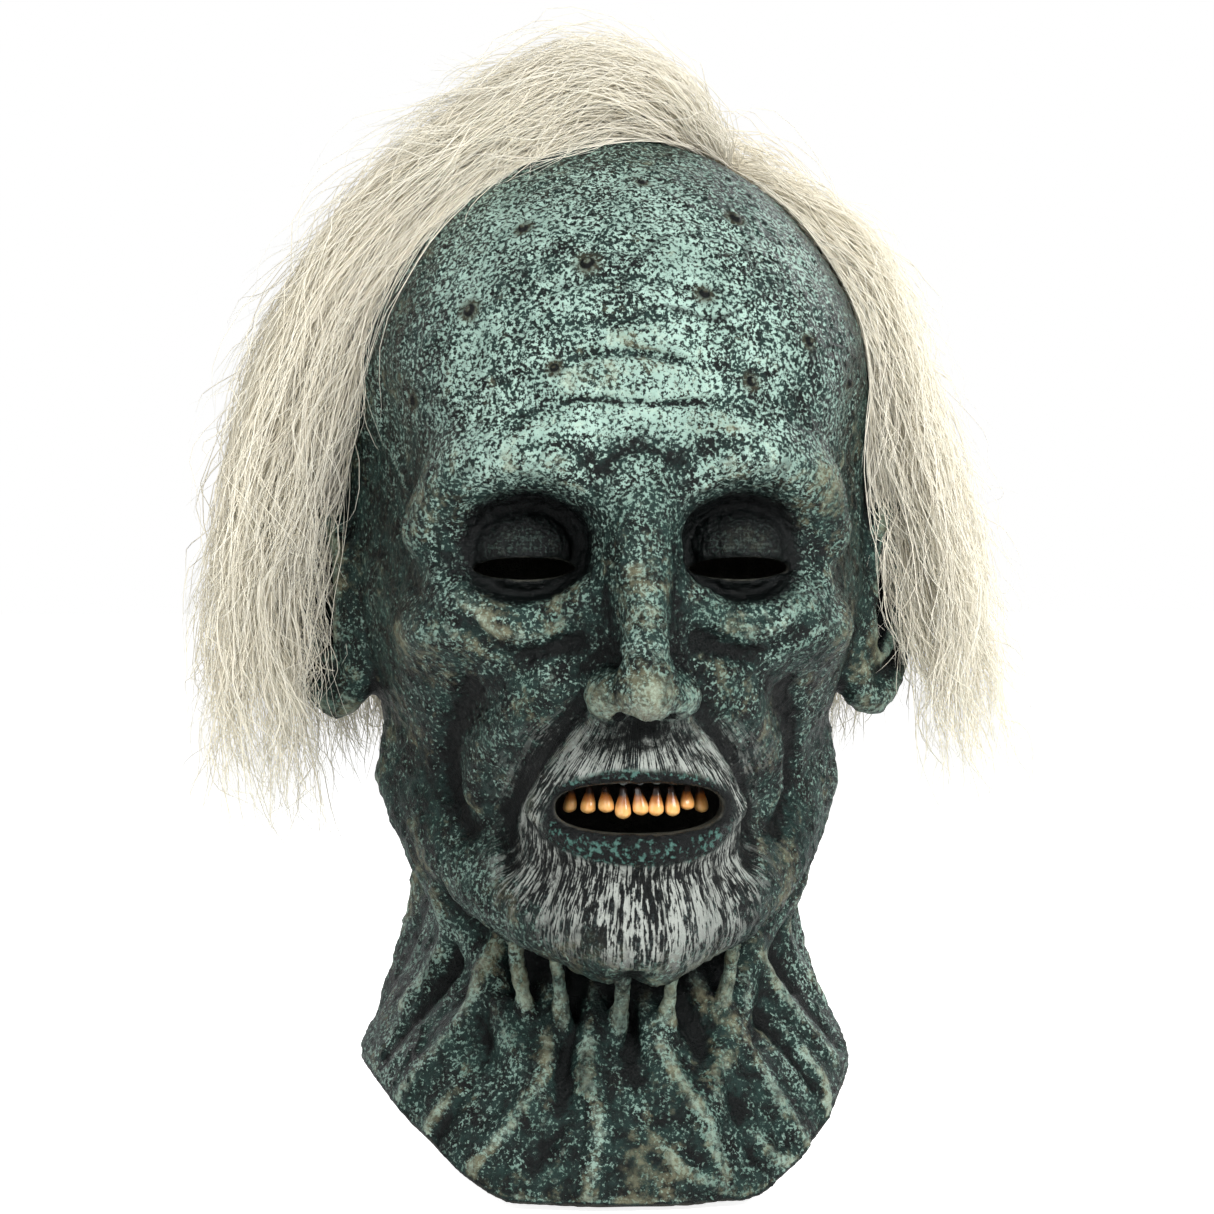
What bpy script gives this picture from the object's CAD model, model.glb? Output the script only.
import math

import bmesh
import bpy
import numpy as np
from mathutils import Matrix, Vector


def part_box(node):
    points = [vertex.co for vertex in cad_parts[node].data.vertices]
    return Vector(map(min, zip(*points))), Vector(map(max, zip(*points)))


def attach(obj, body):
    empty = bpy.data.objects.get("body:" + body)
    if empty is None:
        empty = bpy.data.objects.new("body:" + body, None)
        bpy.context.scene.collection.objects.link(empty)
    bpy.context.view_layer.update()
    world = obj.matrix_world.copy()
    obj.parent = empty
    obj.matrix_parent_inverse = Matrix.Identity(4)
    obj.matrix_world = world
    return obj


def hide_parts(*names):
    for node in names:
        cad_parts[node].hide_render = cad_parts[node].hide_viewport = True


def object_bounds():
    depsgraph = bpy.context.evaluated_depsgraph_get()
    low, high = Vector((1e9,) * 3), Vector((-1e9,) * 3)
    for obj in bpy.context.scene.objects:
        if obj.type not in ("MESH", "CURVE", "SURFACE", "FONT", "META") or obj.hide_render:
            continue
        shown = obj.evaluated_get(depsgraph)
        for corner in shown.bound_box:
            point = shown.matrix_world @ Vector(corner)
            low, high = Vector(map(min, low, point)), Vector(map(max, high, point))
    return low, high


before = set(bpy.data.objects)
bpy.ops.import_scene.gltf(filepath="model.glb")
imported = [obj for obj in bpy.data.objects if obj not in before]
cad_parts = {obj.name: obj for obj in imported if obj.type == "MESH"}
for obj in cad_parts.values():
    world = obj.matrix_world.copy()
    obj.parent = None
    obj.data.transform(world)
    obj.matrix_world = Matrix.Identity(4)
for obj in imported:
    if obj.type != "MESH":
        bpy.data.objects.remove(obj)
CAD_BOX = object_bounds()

import openvdb
from mathutils import Vector

bl_info = {
    "name": "Latex Mask Maker",
    "version": (1, 0, 0),
    "blender": (4, 5, 0),
    "location": "View3D > Sidebar > Mask",
    "description": "Sculpts and paints a full-head latex mask with teeth and bound hair",
    "category": "Object",
}

# ---- places, taken from the frame ----------------------------------------------
# The head is sculpted in millimetres of its own: x from the middle of the face, y with the
# nose tip at NOSE_Y, z from the lowest edge of the bib. HEAD_SCALE and HEAD_ORIGIN put it in
# the frame, in metres.
SKIN_LOW, SKIN_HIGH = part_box("latex_skin")
HEAD_HEIGHT = 351.0
NOSE_Y = -130.5
AXIS_Y = 14.0
HEAD_SCALE = (SKIN_HIGH.z - SKIN_LOW.z) / HEAD_HEIGHT
HEAD_ORIGIN = np.array([
    (SKIN_LOW.x + SKIN_HIGH.x) / 2,
    SKIN_LOW.y - NOSE_Y * HEAD_SCALE,
    SKIN_LOW.z,
])
EYE_Z = 215.0
EYE_X = 35.0
BROW_Z = EYE_Z + 18
NOSE_Z = EYE_Z - 47
MOUTH_Z = EYE_Z - 86
CHIN_Z = EYE_Z - 122
EAR_Z = EYE_Z - 23
EAR_X = 90.0
EAR_FLARE = 38.0                # how far the ears turn out, in degrees
RIM_FLAT = 36.0
RIM_RISE = 44.0
RIM_HALF_WIDTH = 86.0
FAR = 4.0                       # distances are kept this many voxels either side of a surface


def to_frame(points):
    """Head millimetres to frame metres."""
    return np.asarray(points) * HEAD_SCALE + HEAD_ORIGIN


def to_head(points):
    """Frame metres to head millimetres."""
    return (np.asarray(points) - HEAD_ORIGIN) / HEAD_SCALE


# ---- sizes and colours that a user would change ----------------------------------
def colour(name, text, default):
    return bpy.props.FloatVectorProperty(
        name=name, description=text, default=default, size=3, min=0, max=1, subtype="COLOR")


class MaskSkinSettings(bpy.types.PropertyGroup):
    step: bpy.props.FloatProperty(
        name="Sculpt step", description="Voxel size of the sculpt, in millimetres",
        default=1.2, min=0.8, max=4)
    wall: bpy.props.FloatProperty(
        name="Wall", description="Thickness of the latex, in millimetres", default=3.2, min=2, max=5)
    pebble: bpy.props.FloatProperty(
        name="Pebble", description="Height of the pebbled texture, in millimetres", default=0.85)
    verdigris: colour("Verdigris", "Main paint on the raised skin", (0.42, 0.595, 0.515))
    shade: colour("Shade", "Darker paint below the verdigris", (0.013, 0.031, 0.027))
    wash: colour("Wash", "Black wash in the recesses", (0.0025, 0.0035, 0.0035))
    brushed: colour("Dry brush", "Pale paint on the high edges", (0.50, 0.62, 0.50))
    ochre: colour("Ochre", "Tan paint rubbed over the folds", (0.26, 0.25, 0.155))
    beard: colour("Beard", "Charcoal paint of the lower face", (0.045, 0.06, 0.06))
    silver: colour("Silver", "Dry brush over the stubble", (0.46, 0.49, 0.45))
    lips: colour("Lips", "Wet paint of the lips", (0.07, 0.16, 0.135))
    lining: colour("Lining", "Bare latex inside", (0.085, 0.085, 0.07))
    rust: colour("Rust", "Stain round the pits", (0.060, 0.056, 0.034))


class MaskMouthSettings(bpy.types.PropertyGroup):
    amber: colour("Amber", "Biting end of the teeth", (0.83, 0.40, 0.115))
    root: colour("Root", "Stained root of the teeth", (0.018, 0.009, 0.006))
    gum: colour("Gum", "Painted gum", (0.012, 0.012, 0.011))


class MaskHairSettings(bpy.types.PropertyGroup):
    strands: bpy.props.IntProperty(
        name="Strands", description="Strands in the largest hank", default=2500, min=100, max=2600)
    fibre: bpy.props.FloatProperty(
        name="Fibre", description="Radius of a strand, in millimetres", default=0.15, min=0.08, max=1)
    cream: colour("Cream", "Light fibres", (0.95, 0.89, 0.73))
    straw: colour("Straw", "Darker fibres deep in a hank", (0.80, 0.72, 0.54))
    tape: colour("Tape", "Woven tape that the hair is bound to", (0.50, 0.43, 0.30))


class MaskStageSettings(bpy.types.PropertyGroup):
    azimuth: bpy.props.FloatProperty(
        name="Azimuth", description="Bearing of the camera", default=math.radians(-6), subtype="ANGLE")
    elevation: bpy.props.FloatProperty(
        name="Elevation", description="Height of the camera", default=math.radians(1.5), subtype="ANGLE")
    distance: bpy.props.FloatProperty(
        name="Distance", description="Camera to mask", default=1.9, min=0.5, unit="LENGTH")
    lens: bpy.props.FloatProperty(
        name="Lens", description="Focal length, in millimetres", default=166.5, min=20, unit="CAMERA")
    room: bpy.props.FloatProperty(
        name="Room light", description="Strength of the light from all round", default=0.25, min=0)
    paper: colour("Paper", "Floor", (0.96, 0.96, 0.96))


# ---- distance fields -----------------------------------------------------------------
def smooth_min(a, b, k):
    if k <= 0:
        return np.minimum(a, b)
    h = np.maximum(k - np.abs(a - b), 0) / k
    return np.minimum(a, b) - h * h * k * 0.25


def eight_corners(cell, part):
    """The corners of each grid cell with their shares, for points that lie part of the way across."""
    for corner in range(8):
        bits = np.array([corner & 1, corner >> 1 & 1, corner >> 2 & 1])
        yield cell + bits, np.prod(np.where(bits, part, 1 - part), axis=1)


class Sculpt:
    """Signed distances on a grid, in millimetres: negative inside."""
    EMPTY = 60.0                # the distance everywhere before the first form
    RAY_START = 175.0           # how far out the search for the skin starts
    RAY_STEPS = 60

    def __init__(self, low, high, step):
        self.low = np.array(low, float)
        self.step = step
        self.count = np.ceil((np.array(high) - self.low) / step).astype(int) + 1
        self.axes = [(self.low[i] + step * np.arange(self.count[i])).astype(np.float32) for i in range(3)]
        self.value = np.full(self.count, self.EMPTY, np.float32)

    def window(self, low, high):
        slices = []
        for i in range(3):
            first = max(0, int(math.floor((low[i] - self.low[i]) / self.step)))
            last = min(self.count[i], int(math.ceil((high[i] - self.low[i]) / self.step)) + 1)
            slices.append(slice(first, max(first + 1, last)))
        return tuple(slices)

    def grid(self, window):
        x, y, z = (axis[part] for axis, part in zip(self.axes, window))
        return x[:, None, None], y[None, :, None], z[None, None, :]

    def apply(self, shape, k, sign):
        low, high, distance = shape
        pad = k + self.step * 3
        window = self.window(low - pad, high + pad)
        form = distance(*self.grid(window))
        self.value[window] = sign * smooth_min(sign * self.value[window], form, k)

    def join(self, shape, k=0.0):
        self.apply(shape, k, 1)

    def cut(self, shape, k):
        self.apply(shape, k, -1)

    def sample(self, points, value=None):
        """Distances at points (N, 3), by trilinear interpolation."""
        value = self.value if value is None else value
        place = (np.asarray(points) - self.low) / self.step
        cell = np.clip(np.floor(place).astype(int), 0, self.count - 2)
        part = np.clip(place - cell, 0, 1)
        total = np.zeros(len(place))
        for at, share in eight_corners(cell, part):
            total += share * value[at[:, 0], at[:, 1], at[:, 2]]
        return total

    def slope(self, points):
        """Unit direction in which the distance grows."""
        parts = []
        for i in range(3):
            offset = np.zeros(3)
            offset[i] = self.step
            parts.append(self.sample(points + offset) - self.sample(points - offset))
        out = np.stack(parts, axis=1)
        return out / np.maximum(np.linalg.norm(out, axis=1, keepdims=True), 1e-6)

    def outwards(self, start, direction):
        """Where rays from inside the head leave it for good."""
        direction = direction / np.linalg.norm(direction, axis=1, keepdims=True)
        length = np.full(len(start), self.RAY_START)
        for _ in range(self.RAY_STEPS):
            gap = self.sample(start + direction * length[:, None])
            length -= np.clip(gap, 0, 4) * 0.8
        return start + direction * length[:, None]


def ball(centre, radius, turn=None):
    """An ellipsoid. turn is a 3 by 3 rotation."""
    centre = np.array(centre, float)
    radius = np.array([radius] * 3 if np.isscalar(radius) else radius, float)
    reach = np.full(3, radius.max()) if turn is not None else radius
    turn = np.eye(3) if turn is None else turn

    def distance(x, y, z):
        away = (x - centre[0], y - centre[1], z - centre[2])
        local = [sum(turn[j, i] * away[j] for j in range(3)) / radius[i] for i in range(3)]
        near = np.sqrt(sum(p * p for p in local))
        slope = np.sqrt(sum((p / r) ** 2 for p, r in zip(local, radius))) + 1e-6
        return (near * (near - 1) / slope).astype(np.float32)

    return centre - reach, centre + reach, distance


def curve_through(points, per_span):
    """A smooth curve through points; columns past the third, such as a radius, go with it."""
    p = np.array(points, float)
    p = np.vstack([2 * p[0] - p[1], p, 2 * p[-1] - p[-2]])
    out = []
    for i in range(1, len(p) - 2):
        a, b, c, d = p[i - 1:i + 3]
        for t in np.linspace(0, 1, per_span, endpoint=False):
            out.append(0.5 * (2 * b + (c - a) * t + (2 * a - 5 * b + 4 * c - d) * t * t
                              + (3 * b - a - 3 * c + d) * t ** 3))
    out.append(p[-2])
    return np.array(out)


def cord(points, per_span=5):
    """A round cord through points (x, y, z, radius)."""
    path = curve_through(points, per_span)
    centre, radius = path[:, :3], path[:, 3]

    def distance(x, y, z):
        best = None
        for a, b, ra, rb in zip(centre[:-1], centre[1:], radius[:-1], radius[1:]):
            along = b - a
            length = float(along @ along) + 1e-9
            t = ((x - a[0]) * along[0] + (y - a[1]) * along[1] + (z - a[2]) * along[2]) / length
            t = np.clip(t, 0, 1)
            away = np.sqrt((x - a[0] - t * along[0]) ** 2 + (y - a[1] - t * along[1]) ** 2
                           + (z - a[2] - t * along[2]) ** 2) - (ra + (rb - ra) * t)
            best = away if best is None else np.minimum(best, away)
        return best.astype(np.float32)

    return (centre - radius[:, None]).min(0), (centre + radius[:, None]).max(0), distance


def slot(x, z, half_width, half_height, y_front, y_back, squareness=2.0):
    """A lens-shaped hole that runs front to back."""
    def distance(px, py, pz):
        across, up = np.abs((px - x) / half_width), np.abs((pz - z) / half_height)
        near = (across ** squareness + up ** squareness) ** (1 / squareness)
        flat = (near - 1) * half_height
        return np.maximum(np.maximum(flat, y_front - py), py - y_back).astype(np.float32)

    low = np.array([x - half_width, y_front, z - half_height])
    return low, np.array([x + half_width, y_back, z + half_height]), distance


def rotation(axis, degrees):
    c, s = math.cos(math.radians(degrees)), math.sin(math.radians(degrees))
    if axis == "x":
        return np.array([[1, 0, 0], [0, c, -s], [0, s, c]])
    if axis == "y":
        return np.array([[c, 0, s], [0, 1, 0], [-s, 0, c]])
    return np.array([[c, -s, 0], [s, c, 0], [0, 0, 1]])


def noise(points, wavelength, seed):
    """Smooth random values from -1 to 1 at points (N, 3)."""
    cells = 32
    table = np.random.default_rng(seed).uniform(-1, 1, (cells, cells, cells)).astype(np.float32)
    place = np.asarray(points) / wavelength + seed * 7.31
    cell = np.floor(place).astype(int)
    part = place - cell
    part = part * part * (3 - 2 * part)
    total = np.zeros(len(place))
    for at, share in eight_corners(cell, part):
        at = at % cells
        total += share * table[at[:, 0], at[:, 1], at[:, 2]]
    return total


def fractal(points, wavelength, seed, octaves=3):
    """Noise with finer noise on top: each octave is turned, half as long and half as strong."""
    total, size = 0, 0
    for i in range(octaves):
        turned = points @ rotation("xyz"[i % 3], 37 * i)
        total = total + noise(turned, wavelength / 2 ** i, seed + i) / 2 ** i
        size += 1 / 2 ** i
    return total / size


def blend_in(value, low, high):
    """0 below low, 1 above high, smooth between."""
    t = np.clip((value - low) / (high - low), 0, 1)
    return t * t * (3 - 2 * t)


# ---- the head's forms --------------------------------------------------------------------
SIDES = (-1, 1)                 # towards -X, then towards +X


def mirrored(side, points):
    """Points of a stroke, with x turned to one side of the face."""
    return [(side * x, *rest) for x, *rest in points]


def neck_tube():
    """The neck and the bib, from soft curves of half width, half depth and middle over height."""
    heights = [-20, 0, 20, RIM_RISE, 64, 88, 112, 160]
    half_widths = [92, 90, 88, RIM_HALF_WIDTH - 2, 72, 64, 61, 60]
    half_depths = [90, 88, 84, 76, 66, 60, 58, 58]
    middles = [6, 6, 8, 12, 16, 18, 18, 18]
    top = heights[-1]
    soften = 6                  # the curves are averaged over this many samples to each side
    window = 2 * soften + 1

    def at(values, z):
        fine = np.linspace(heights[0], top, 91)
        sharp = np.pad(np.interp(fine, heights, values), soften, "edge")
        soft = np.convolve(sharp, np.ones(window) / window, "valid")
        return np.interp(z.ravel(), fine, soft).reshape(z.shape).astype(np.float32)

    def distance(x, y, z):
        half_width, half_depth, middle = at(half_widths, z), at(half_depths, z), at(middles, z)
        out = np.sqrt((x / half_width) ** 2 + ((y - middle) / half_depth) ** 2) - 1
        return np.maximum(out * np.minimum(half_width, half_depth) * 0.9, z - top).astype(np.float32)

    return np.array([-95, -90, heights[0]]), np.array([95, 110, top]), distance


def sculpt_skull(s):
    s.join(ball((0, AXIS_Y, 257), (90, 108, 95)))
    s.join(ball((0, AXIS_Y, 200), (82, 92, 74)), 24)
    s.join(ball((0, -28, 264), (76, 70, 62)), 20)
    s.join(ball((0, -12, 192), (72, 82, 98)), 24)
    for side in SIDES:
        s.join(ball((side * 50, -60, EYE_Z - 29), (24, 24, 14)), 18)
    s.join(ball((0, -66, MOUTH_Z + 11), (36, 38, 38)), 22)
    jaw = [(62, 2, 138, 14), (50, -32, 112, 14), (28, -66, 97, 15), (0, -82, CHIN_Z, 16)]
    for side in SIDES:
        s.join(cord(mirrored(side, jaw)), 20)
    s.join(ball((0, -86, CHIN_Z + 2), (20, 19, 17)), 12)
    for side in SIDES:
        s.cut(ball((side * 102, -52, 240), (24, 40, 34)), 26)
        s.cut(ball((side * 68, -89, 147), (21, 34, 26)), 27)
    s.join(neck_tube(), 18)
    s.join(ball((0, 54, 150), (58, 52, 60)), 24)


def sculpt_eyes(s, side):
    s.cut(ball((side * EYE_X, -112, EYE_Z), (28, 35, 22)), 9)
    s.cut(ball((side * (EYE_X + 0.5), -84, EYE_Z - 1), (22.5, 17, 17.5)), 5)
    s.join(ball((side * EYE_X, -66, EYE_Z - 2), (17.5, 17, 15.5)), 2.5)


def sculpt_nose(s):
    s.join(ball((0, -88, EYE_Z - 14), (12, 20, 36)), 10)
    nose = [(0, -94, BROW_Z + 5, 7), (0, -101, EYE_Z + 7, 6), (0, -111, EYE_Z - 19, 6.2),
            (0, -119, NOSE_Z + 7, 8.4), (0, -121.5, NOSE_Z + 1, 8.8)]
    s.join(cord(nose), 12)
    for side in SIDES:
        s.join(ball((side * 11, -106, NOSE_Z - 1), (7.5, 12, 7)), 9)


def sculpt_lips(s):
    upper = [(31, -87, MOUTH_Z + 2, 3), (17, -98, MOUTH_Z + 12, 3.6),
             (5, -103, MOUTH_Z + 14.4, 4), (0, -102.5, MOUTH_Z + 13.8, 3.8)]
    lower = [(31, -87, MOUTH_Z + 1, 3), (17, -97, MOUTH_Z - 8.5, 5.6), (0, -101, MOUTH_Z - 10.5, 6.6)]
    s.join(ball((0, -84, MOUTH_Z + 1), (30, 20, 18)), 14)
    for side in SIDES:
        s.join(cord(mirrored(side, upper)), 5)
        s.join(cord(mirrored(side, lower)), 5)


def sculpt_face(s):
    brow = [(12, -92, BROW_Z - 1, 7), (34, -93, BROW_Z + 10, 8.5),
            (56, -78, BROW_Z + 5, 8.5), (66, -62, BROW_Z - 13, 7)]
    for side in SIDES:
        s.join(cord(mirrored(side, brow)), 14)
    for side in SIDES:
        sculpt_eyes(s, side)
    sculpt_nose(s)
    sculpt_lips(s)


# Folds of the ear: back, up, out and thickness. The outer one ends in the lobe.
EAR_OUTER_FOLD = [(2, 4, 3, 3.2), (1, 18, 4.5, 3.6), (8, 31, 5, 3.8), (19, 35, 5, 4.2), (29, 28, 4, 4.2),
                  (33, 12, 3, 3.8), (31, -5, 2, 3.4), (24, -19, 1.5, 4.2), (13, -29, 1, 6), (4, -29, 0, 5.6),
                  (-1, -20, 0, 5)]
EAR_INNER_FOLD = [(9, 23, 2.5, 2.4), (18, 21, 3.2, 2.8), (23, 8, 3, 3), (20, -8, 2.5, 3),
                  (12, -16, 2.5, 2.8), (5, -15, 2.5, 2.6)]
EAR_ROOT_FOLD = [(0, 6, 2.5, 3), (8, 3, 0.5, 2)]


def sculpt_ear(s, side):
    """An ear that stands out from the head. Its forms lie (back, up, out) from its front edge."""
    flare = math.radians(EAR_FLARE)
    axes = np.array([[side * math.sin(flare), math.cos(flare), 0], [0, 0, 1],
                     [side * math.cos(flare), -math.sin(flare), 0]])
    origin = np.array([side * (EAR_X - 5), 3, EAR_Z])
    turn = axes.T

    def place(back, up, out):
        return origin + np.array([back, up, out]) @ axes

    def line(points):
        return cord([(*place(back, up, out), r) for back, up, out, r in points])

    s.join(ball(place(15, 0, -1), (19, 33, 5), turn), 7)
    s.join(ball(place(-2, 0, -3), (8, 24, 8), turn), 10)
    s.cut(ball(place(17, 2, 6.5), (13.5, 26, 8), turn), 3)
    s.join(line(EAR_OUTER_FOLD), 4)
    s.join(line(EAR_INNER_FOLD), 4)
    s.join(line(EAR_ROOT_FOLD), 3)
    s.join(ball(place(1, -6, 3.5), (4, 6, 3.5), turn), 4)
    s.cut(ball(place(10, -3, 1), (6.5, 8, 7), turn), 3)


# ---- strokes laid on the surface ------------------------------------------------------------
def skin_at(s, bearings, heights):
    """Places on the skin at bearings (degrees from the face, towards +X) and the ways out there."""
    turn = np.radians(bearings)
    level = np.zeros(len(turn))
    out = np.stack([np.sin(turn), -np.cos(turn), level], axis=1)
    return s.outwards(np.stack([level, level + AXIS_Y, heights], axis=1), out), out


def on_skin(s, strokes):
    """Points (bearing, height, radius, rise) to cord points.

    rise is how far the cord's top stands above the skin.
    """
    bearing, height, radius, rise = np.array(strokes, float).T
    skin, out = skin_at(s, bearing, height)
    return np.column_stack([skin + out * (rise - radius)[:, None], radius])


def on_face(s, strokes):
    """Points (x, z, radius, rise) on the front of the face to cord points."""
    x, z, radius, rise = np.array(strokes, float).T
    forwards = np.tile([0.0, -1.0, 0.0], (len(x), 1))
    skin = s.outwards(np.stack([x, np.full(len(x), 30.0), z], axis=1), forwards)
    return np.column_stack([skin + forwards * (rise - radius)[:, None], radius])


def furrow(s, points, k, on=on_face):
    """Cuts a furrow; the last column of each point is its depth."""
    *place, radius, depth = np.array(points, float).T
    s.cut(cord(on(s, np.column_stack([*place, radius, 2 * radius - depth])), 3), k)


# Folds beside the nose and eyes, on the +X side: x, z, thickness, and rise or depth.
EYE_BAG = [(17, 198, 4, 0.5), (27, 191, 5.5, 1.6), (39, 188, 6, 1.8), (52, 193, 5.5, 1.4),
           (61, 203, 4, 0.4)]
BAG_FURROW = [(21, 184, 2.4, 0.9), (34, 179, 2.8, 1.6), (47, 182, 2.8, 1.4), (57, 190, 2.2, 0.7)]
SMILE_FURROW = [(19, 166, 2.6, 1.4), (27, 155, 3, 2.3), (35, 142, 3, 2.3), (40, 127, 2.8, 1.7),
                (40, 112, 2.2, 0.8)]
SMILE_RIDGE = [(27, 172, 5, 0.4), (35, 160, 7, 1.5), (43, 146, 7, 1.4), (47, 130, 5, 0.6)]
CHEEK_FURROW = [(52, 168, 2.4, 0.9), (57, 154, 2.8, 1.9), (57, 138, 2.6, 1.5), (52, 122, 2, 0.7)]
# The vein on the temple: bearing, height, thickness and rise.
TEMPLE_VEIN = [(50, 232, 1.5, 0.4), (57, 244, 1.7, 0.8), (63, 252, 1.7, 0.8), (62, 266, 1.6, 0.7),
               (68, 278, 1.5, 0.4)]
# Lines across the brow: height, how far they reach to each side, and how they lean.
BROW_LINES = [(262, 38, 1.6), (276, 45, -1.4), (289, 40, 1.2), (301, 30, -1)]


def sculpt_folds(s):
    """Calm folds of an old, thin face: bags, cheek folds and thin brow lines."""
    for side in SIDES:
        s.join(cord(on_face(s, mirrored(side, EYE_BAG)), 3), 7)
        furrow(s, mirrored(side, BAG_FURROW), 5)
        furrow(s, mirrored(side, SMILE_FURROW), 6)
        s.join(cord(on_face(s, mirrored(side, SMILE_RIDGE)), 3), 9)
        furrow(s, mirrored(side, CHEEK_FURROW), 7)
        s.join(cord(on_skin(s, mirrored(side, TEMPLE_VEIN)), 4), 2)
    for height, reach, lean in BROW_LINES:
        line = [(x, height - 0.0035 * x * x + lean * math.sin(x / 9 + height), 1.5, 0.6)
                for x in np.linspace(-reach, reach, 9)]
        furrow(s, line, 2)


# Cords of the neck: bearings and heights from the jaw to the bib, thickness and rise.
NECK_CORDS = [
    [(78, 134, 6.4, 1.7), (64, 106, 6.4, 4.6), (46, 80, 6.4, 5.3), (30, 54, 5.6, 4.1), (17, 28, 4, 1.1)],
    [(-79, 136, 6.4, 1.7), (-63, 106, 6.4, 4.6), (-47, 80, 6.4, 5.3), (-30, 52, 5.6, 4.1),
     (-18, 26, 4, 1.1)],
    [(6, 72, 3.2, 0.9), (8, 58, 3.5, 2.8), (10, 44, 3.2, 2.8), (16, 26, 2.6, 2.3), (19, 6, 2.1, 1.6)],
    [(-8, 70, 2.9, 0.9), (-9, 56, 3.4, 2.5), (-10, 42, 2.9, 2.3), (-7, 24, 2.6, 1.8), (-9, 4, 1.9, 1.4)],
    [(-20, 74, 2.4, 0.7), (-22, 60, 2.7, 2.1), (-20, 46, 2.2, 1.6), (-24, 30, 2.1, 1.8),
     (-33, 12, 1.8, 0.9)],
    [(22, 74, 2.4, 0.7), (26, 60, 2.7, 2.1), (33, 44, 2.2, 1.6), (37, 28, 2.1, 1.6), (43, 12, 1.8, 0.9)],
    [(-38, 88, 2.4, 1.1), (-41, 72, 2.9, 2.3), (-47, 54, 2.6, 1.6), (-54, 38, 2.1, 1.4),
     (-59, 26, 1.6, 0.5)],
    [(40, 90, 2.4, 1.1), (46, 74, 2.7, 2.1), (55, 56, 2.4, 1.6), (61, 42, 2.1, 1.1)],
    [(-56, 100, 2.7, 1.1), (-62, 80, 3, 2.1), (-71, 60, 2.6, 1.4)],
    [(60, 104, 2.7, 1.1), (66, 82, 3, 2.1), (76, 60, 2.6, 1.4)],
    [(90, 112, 4, 1.1), (94, 86, 4.3, 2.3), (99, 62, 3.2, 1.1)],
    [(-90, 112, 4, 1.1), (-95, 84, 4.3, 2.3), (-101, 60, 3.2, 1.1)],
    [(150, 120, 4.8, 0.9), (156, 88, 4.8, 2.1), (160, 52, 4, 1.1), (163, 20, 3.2, 0.6)],
    [(-150, 120, 4.8, 0.9), (-157, 86, 4.8, 2.1), (-161, 50, 4, 1.1), (-160, 18, 3.2, 0.6)],
    [(3, 34, 1.4, 0.7), (5, 22, 1.4, 1.4), (9, 13, 1.3, 1.4), (16, 7, 1.1, 0.9)],
    [(27, 22, 1.4, 0.7), (31, 14, 1.4, 1.4), (38, 11, 1.2, 0.9)],
    [(-38, 46, 1.6, 0.7), (-41, 34, 1.6, 1.6), (-46, 24, 1.4, 1.1), (-47, 16, 1.1, 0.7)],
    [(50, 44, 1.6, 0.6), (53, 34, 1.6, 1.4), (52, 24, 1.3, 0.9)],
]
# Furrows between the cords: bearings, heights, thickness and depth.
NECK_FURROWS = [
    [(-1, 74, 4.6, 3.6), (0, 62, 4.4, 3), (1, 46, 3.4, 2), (4, 32, 2.8, 1.4), (6, 16, 2.2, 0.8)],
    [(15, 76, 4.6, 4.2), (17, 62, 4, 3), (21, 46, 3, 1.8), (25, 30, 2.4, 1.2), (27, 16, 2, 0.6)],
    [(-15, 76, 4.6, 4.2), (-15, 62, 4, 3), (-16, 46, 3, 1.8), (-16, 30, 2.4, 1.2), (-20, 14, 2, 0.6)],
    [(31, 84, 4.4, 4.4), (35, 68, 3.8, 2.8), (44, 52, 3, 1.8), (50, 36, 2.4, 1)],
    [(-29, 84, 4.4, 4.4), (-32, 68, 4, 3), (-36, 52, 3, 1.8), (-40, 36, 2.4, 1.2), (-44, 22, 2, 0.6)],
    [(50, 100, 3, 1.4), (54, 82, 3, 1.8), (63, 62, 2.6, 1.4), (70, 46, 2.2, 0.8)],
    [(-49, 100, 3, 1.4), (-53, 82, 3, 1.8), (-61, 62, 2.6, 1.4), (-68, 44, 2.2, 0.8)],
    [(78, 100, 3, 1), (85, 74, 3, 1.2), (92, 54, 2.4, 0.8)],
    [(-79, 100, 3, 1), (-86, 74, 3, 1.2), (-93, 54, 2.4, 0.8)],
    [(180, 110, 7, 2.2), (180, 80, 7, 2.4), (180, 50, 6, 1.1)],
]
# Strings of latex that bridge the hollow under the jaw: x, y, z and thickness.
THROAT_STRINGS = [
    [(-38, -56, 102, 4), (-37, -54, 88, 2.3), (-35, -51, 74, 2.2), (-31, -48, 56, 4)],
    [(-26, -64, 94, 3.6), (-24, -60, 82, 2.1), (-22, -57, 70, 2.1), (-20, -51, 52, 4)],
    [(-3, -74, 86, 4), (-2, -67, 76, 2.6), (-2, -60, 66, 2.6), (-4, -53, 50, 4.4)],
    [(17, -72, 88, 3.6), (15, -65, 77, 2.2), (14, -59, 66, 2.2), (12, -53, 50, 4)],
    [(37, -60, 99, 4), (36, -56, 86, 2.4), (35, -51, 74, 2.3), (32, -47, 56, 4)],
]


def sculpt_neck(s):
    for points in NECK_FURROWS:
        furrow(s, points, 5, on_skin)
    for points in NECK_CORDS:
        s.join(cord(on_skin(s, points), 3), 5)
    for points in THROAT_STRINGS:
        s.join(cord(points, 3), 3)


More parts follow.
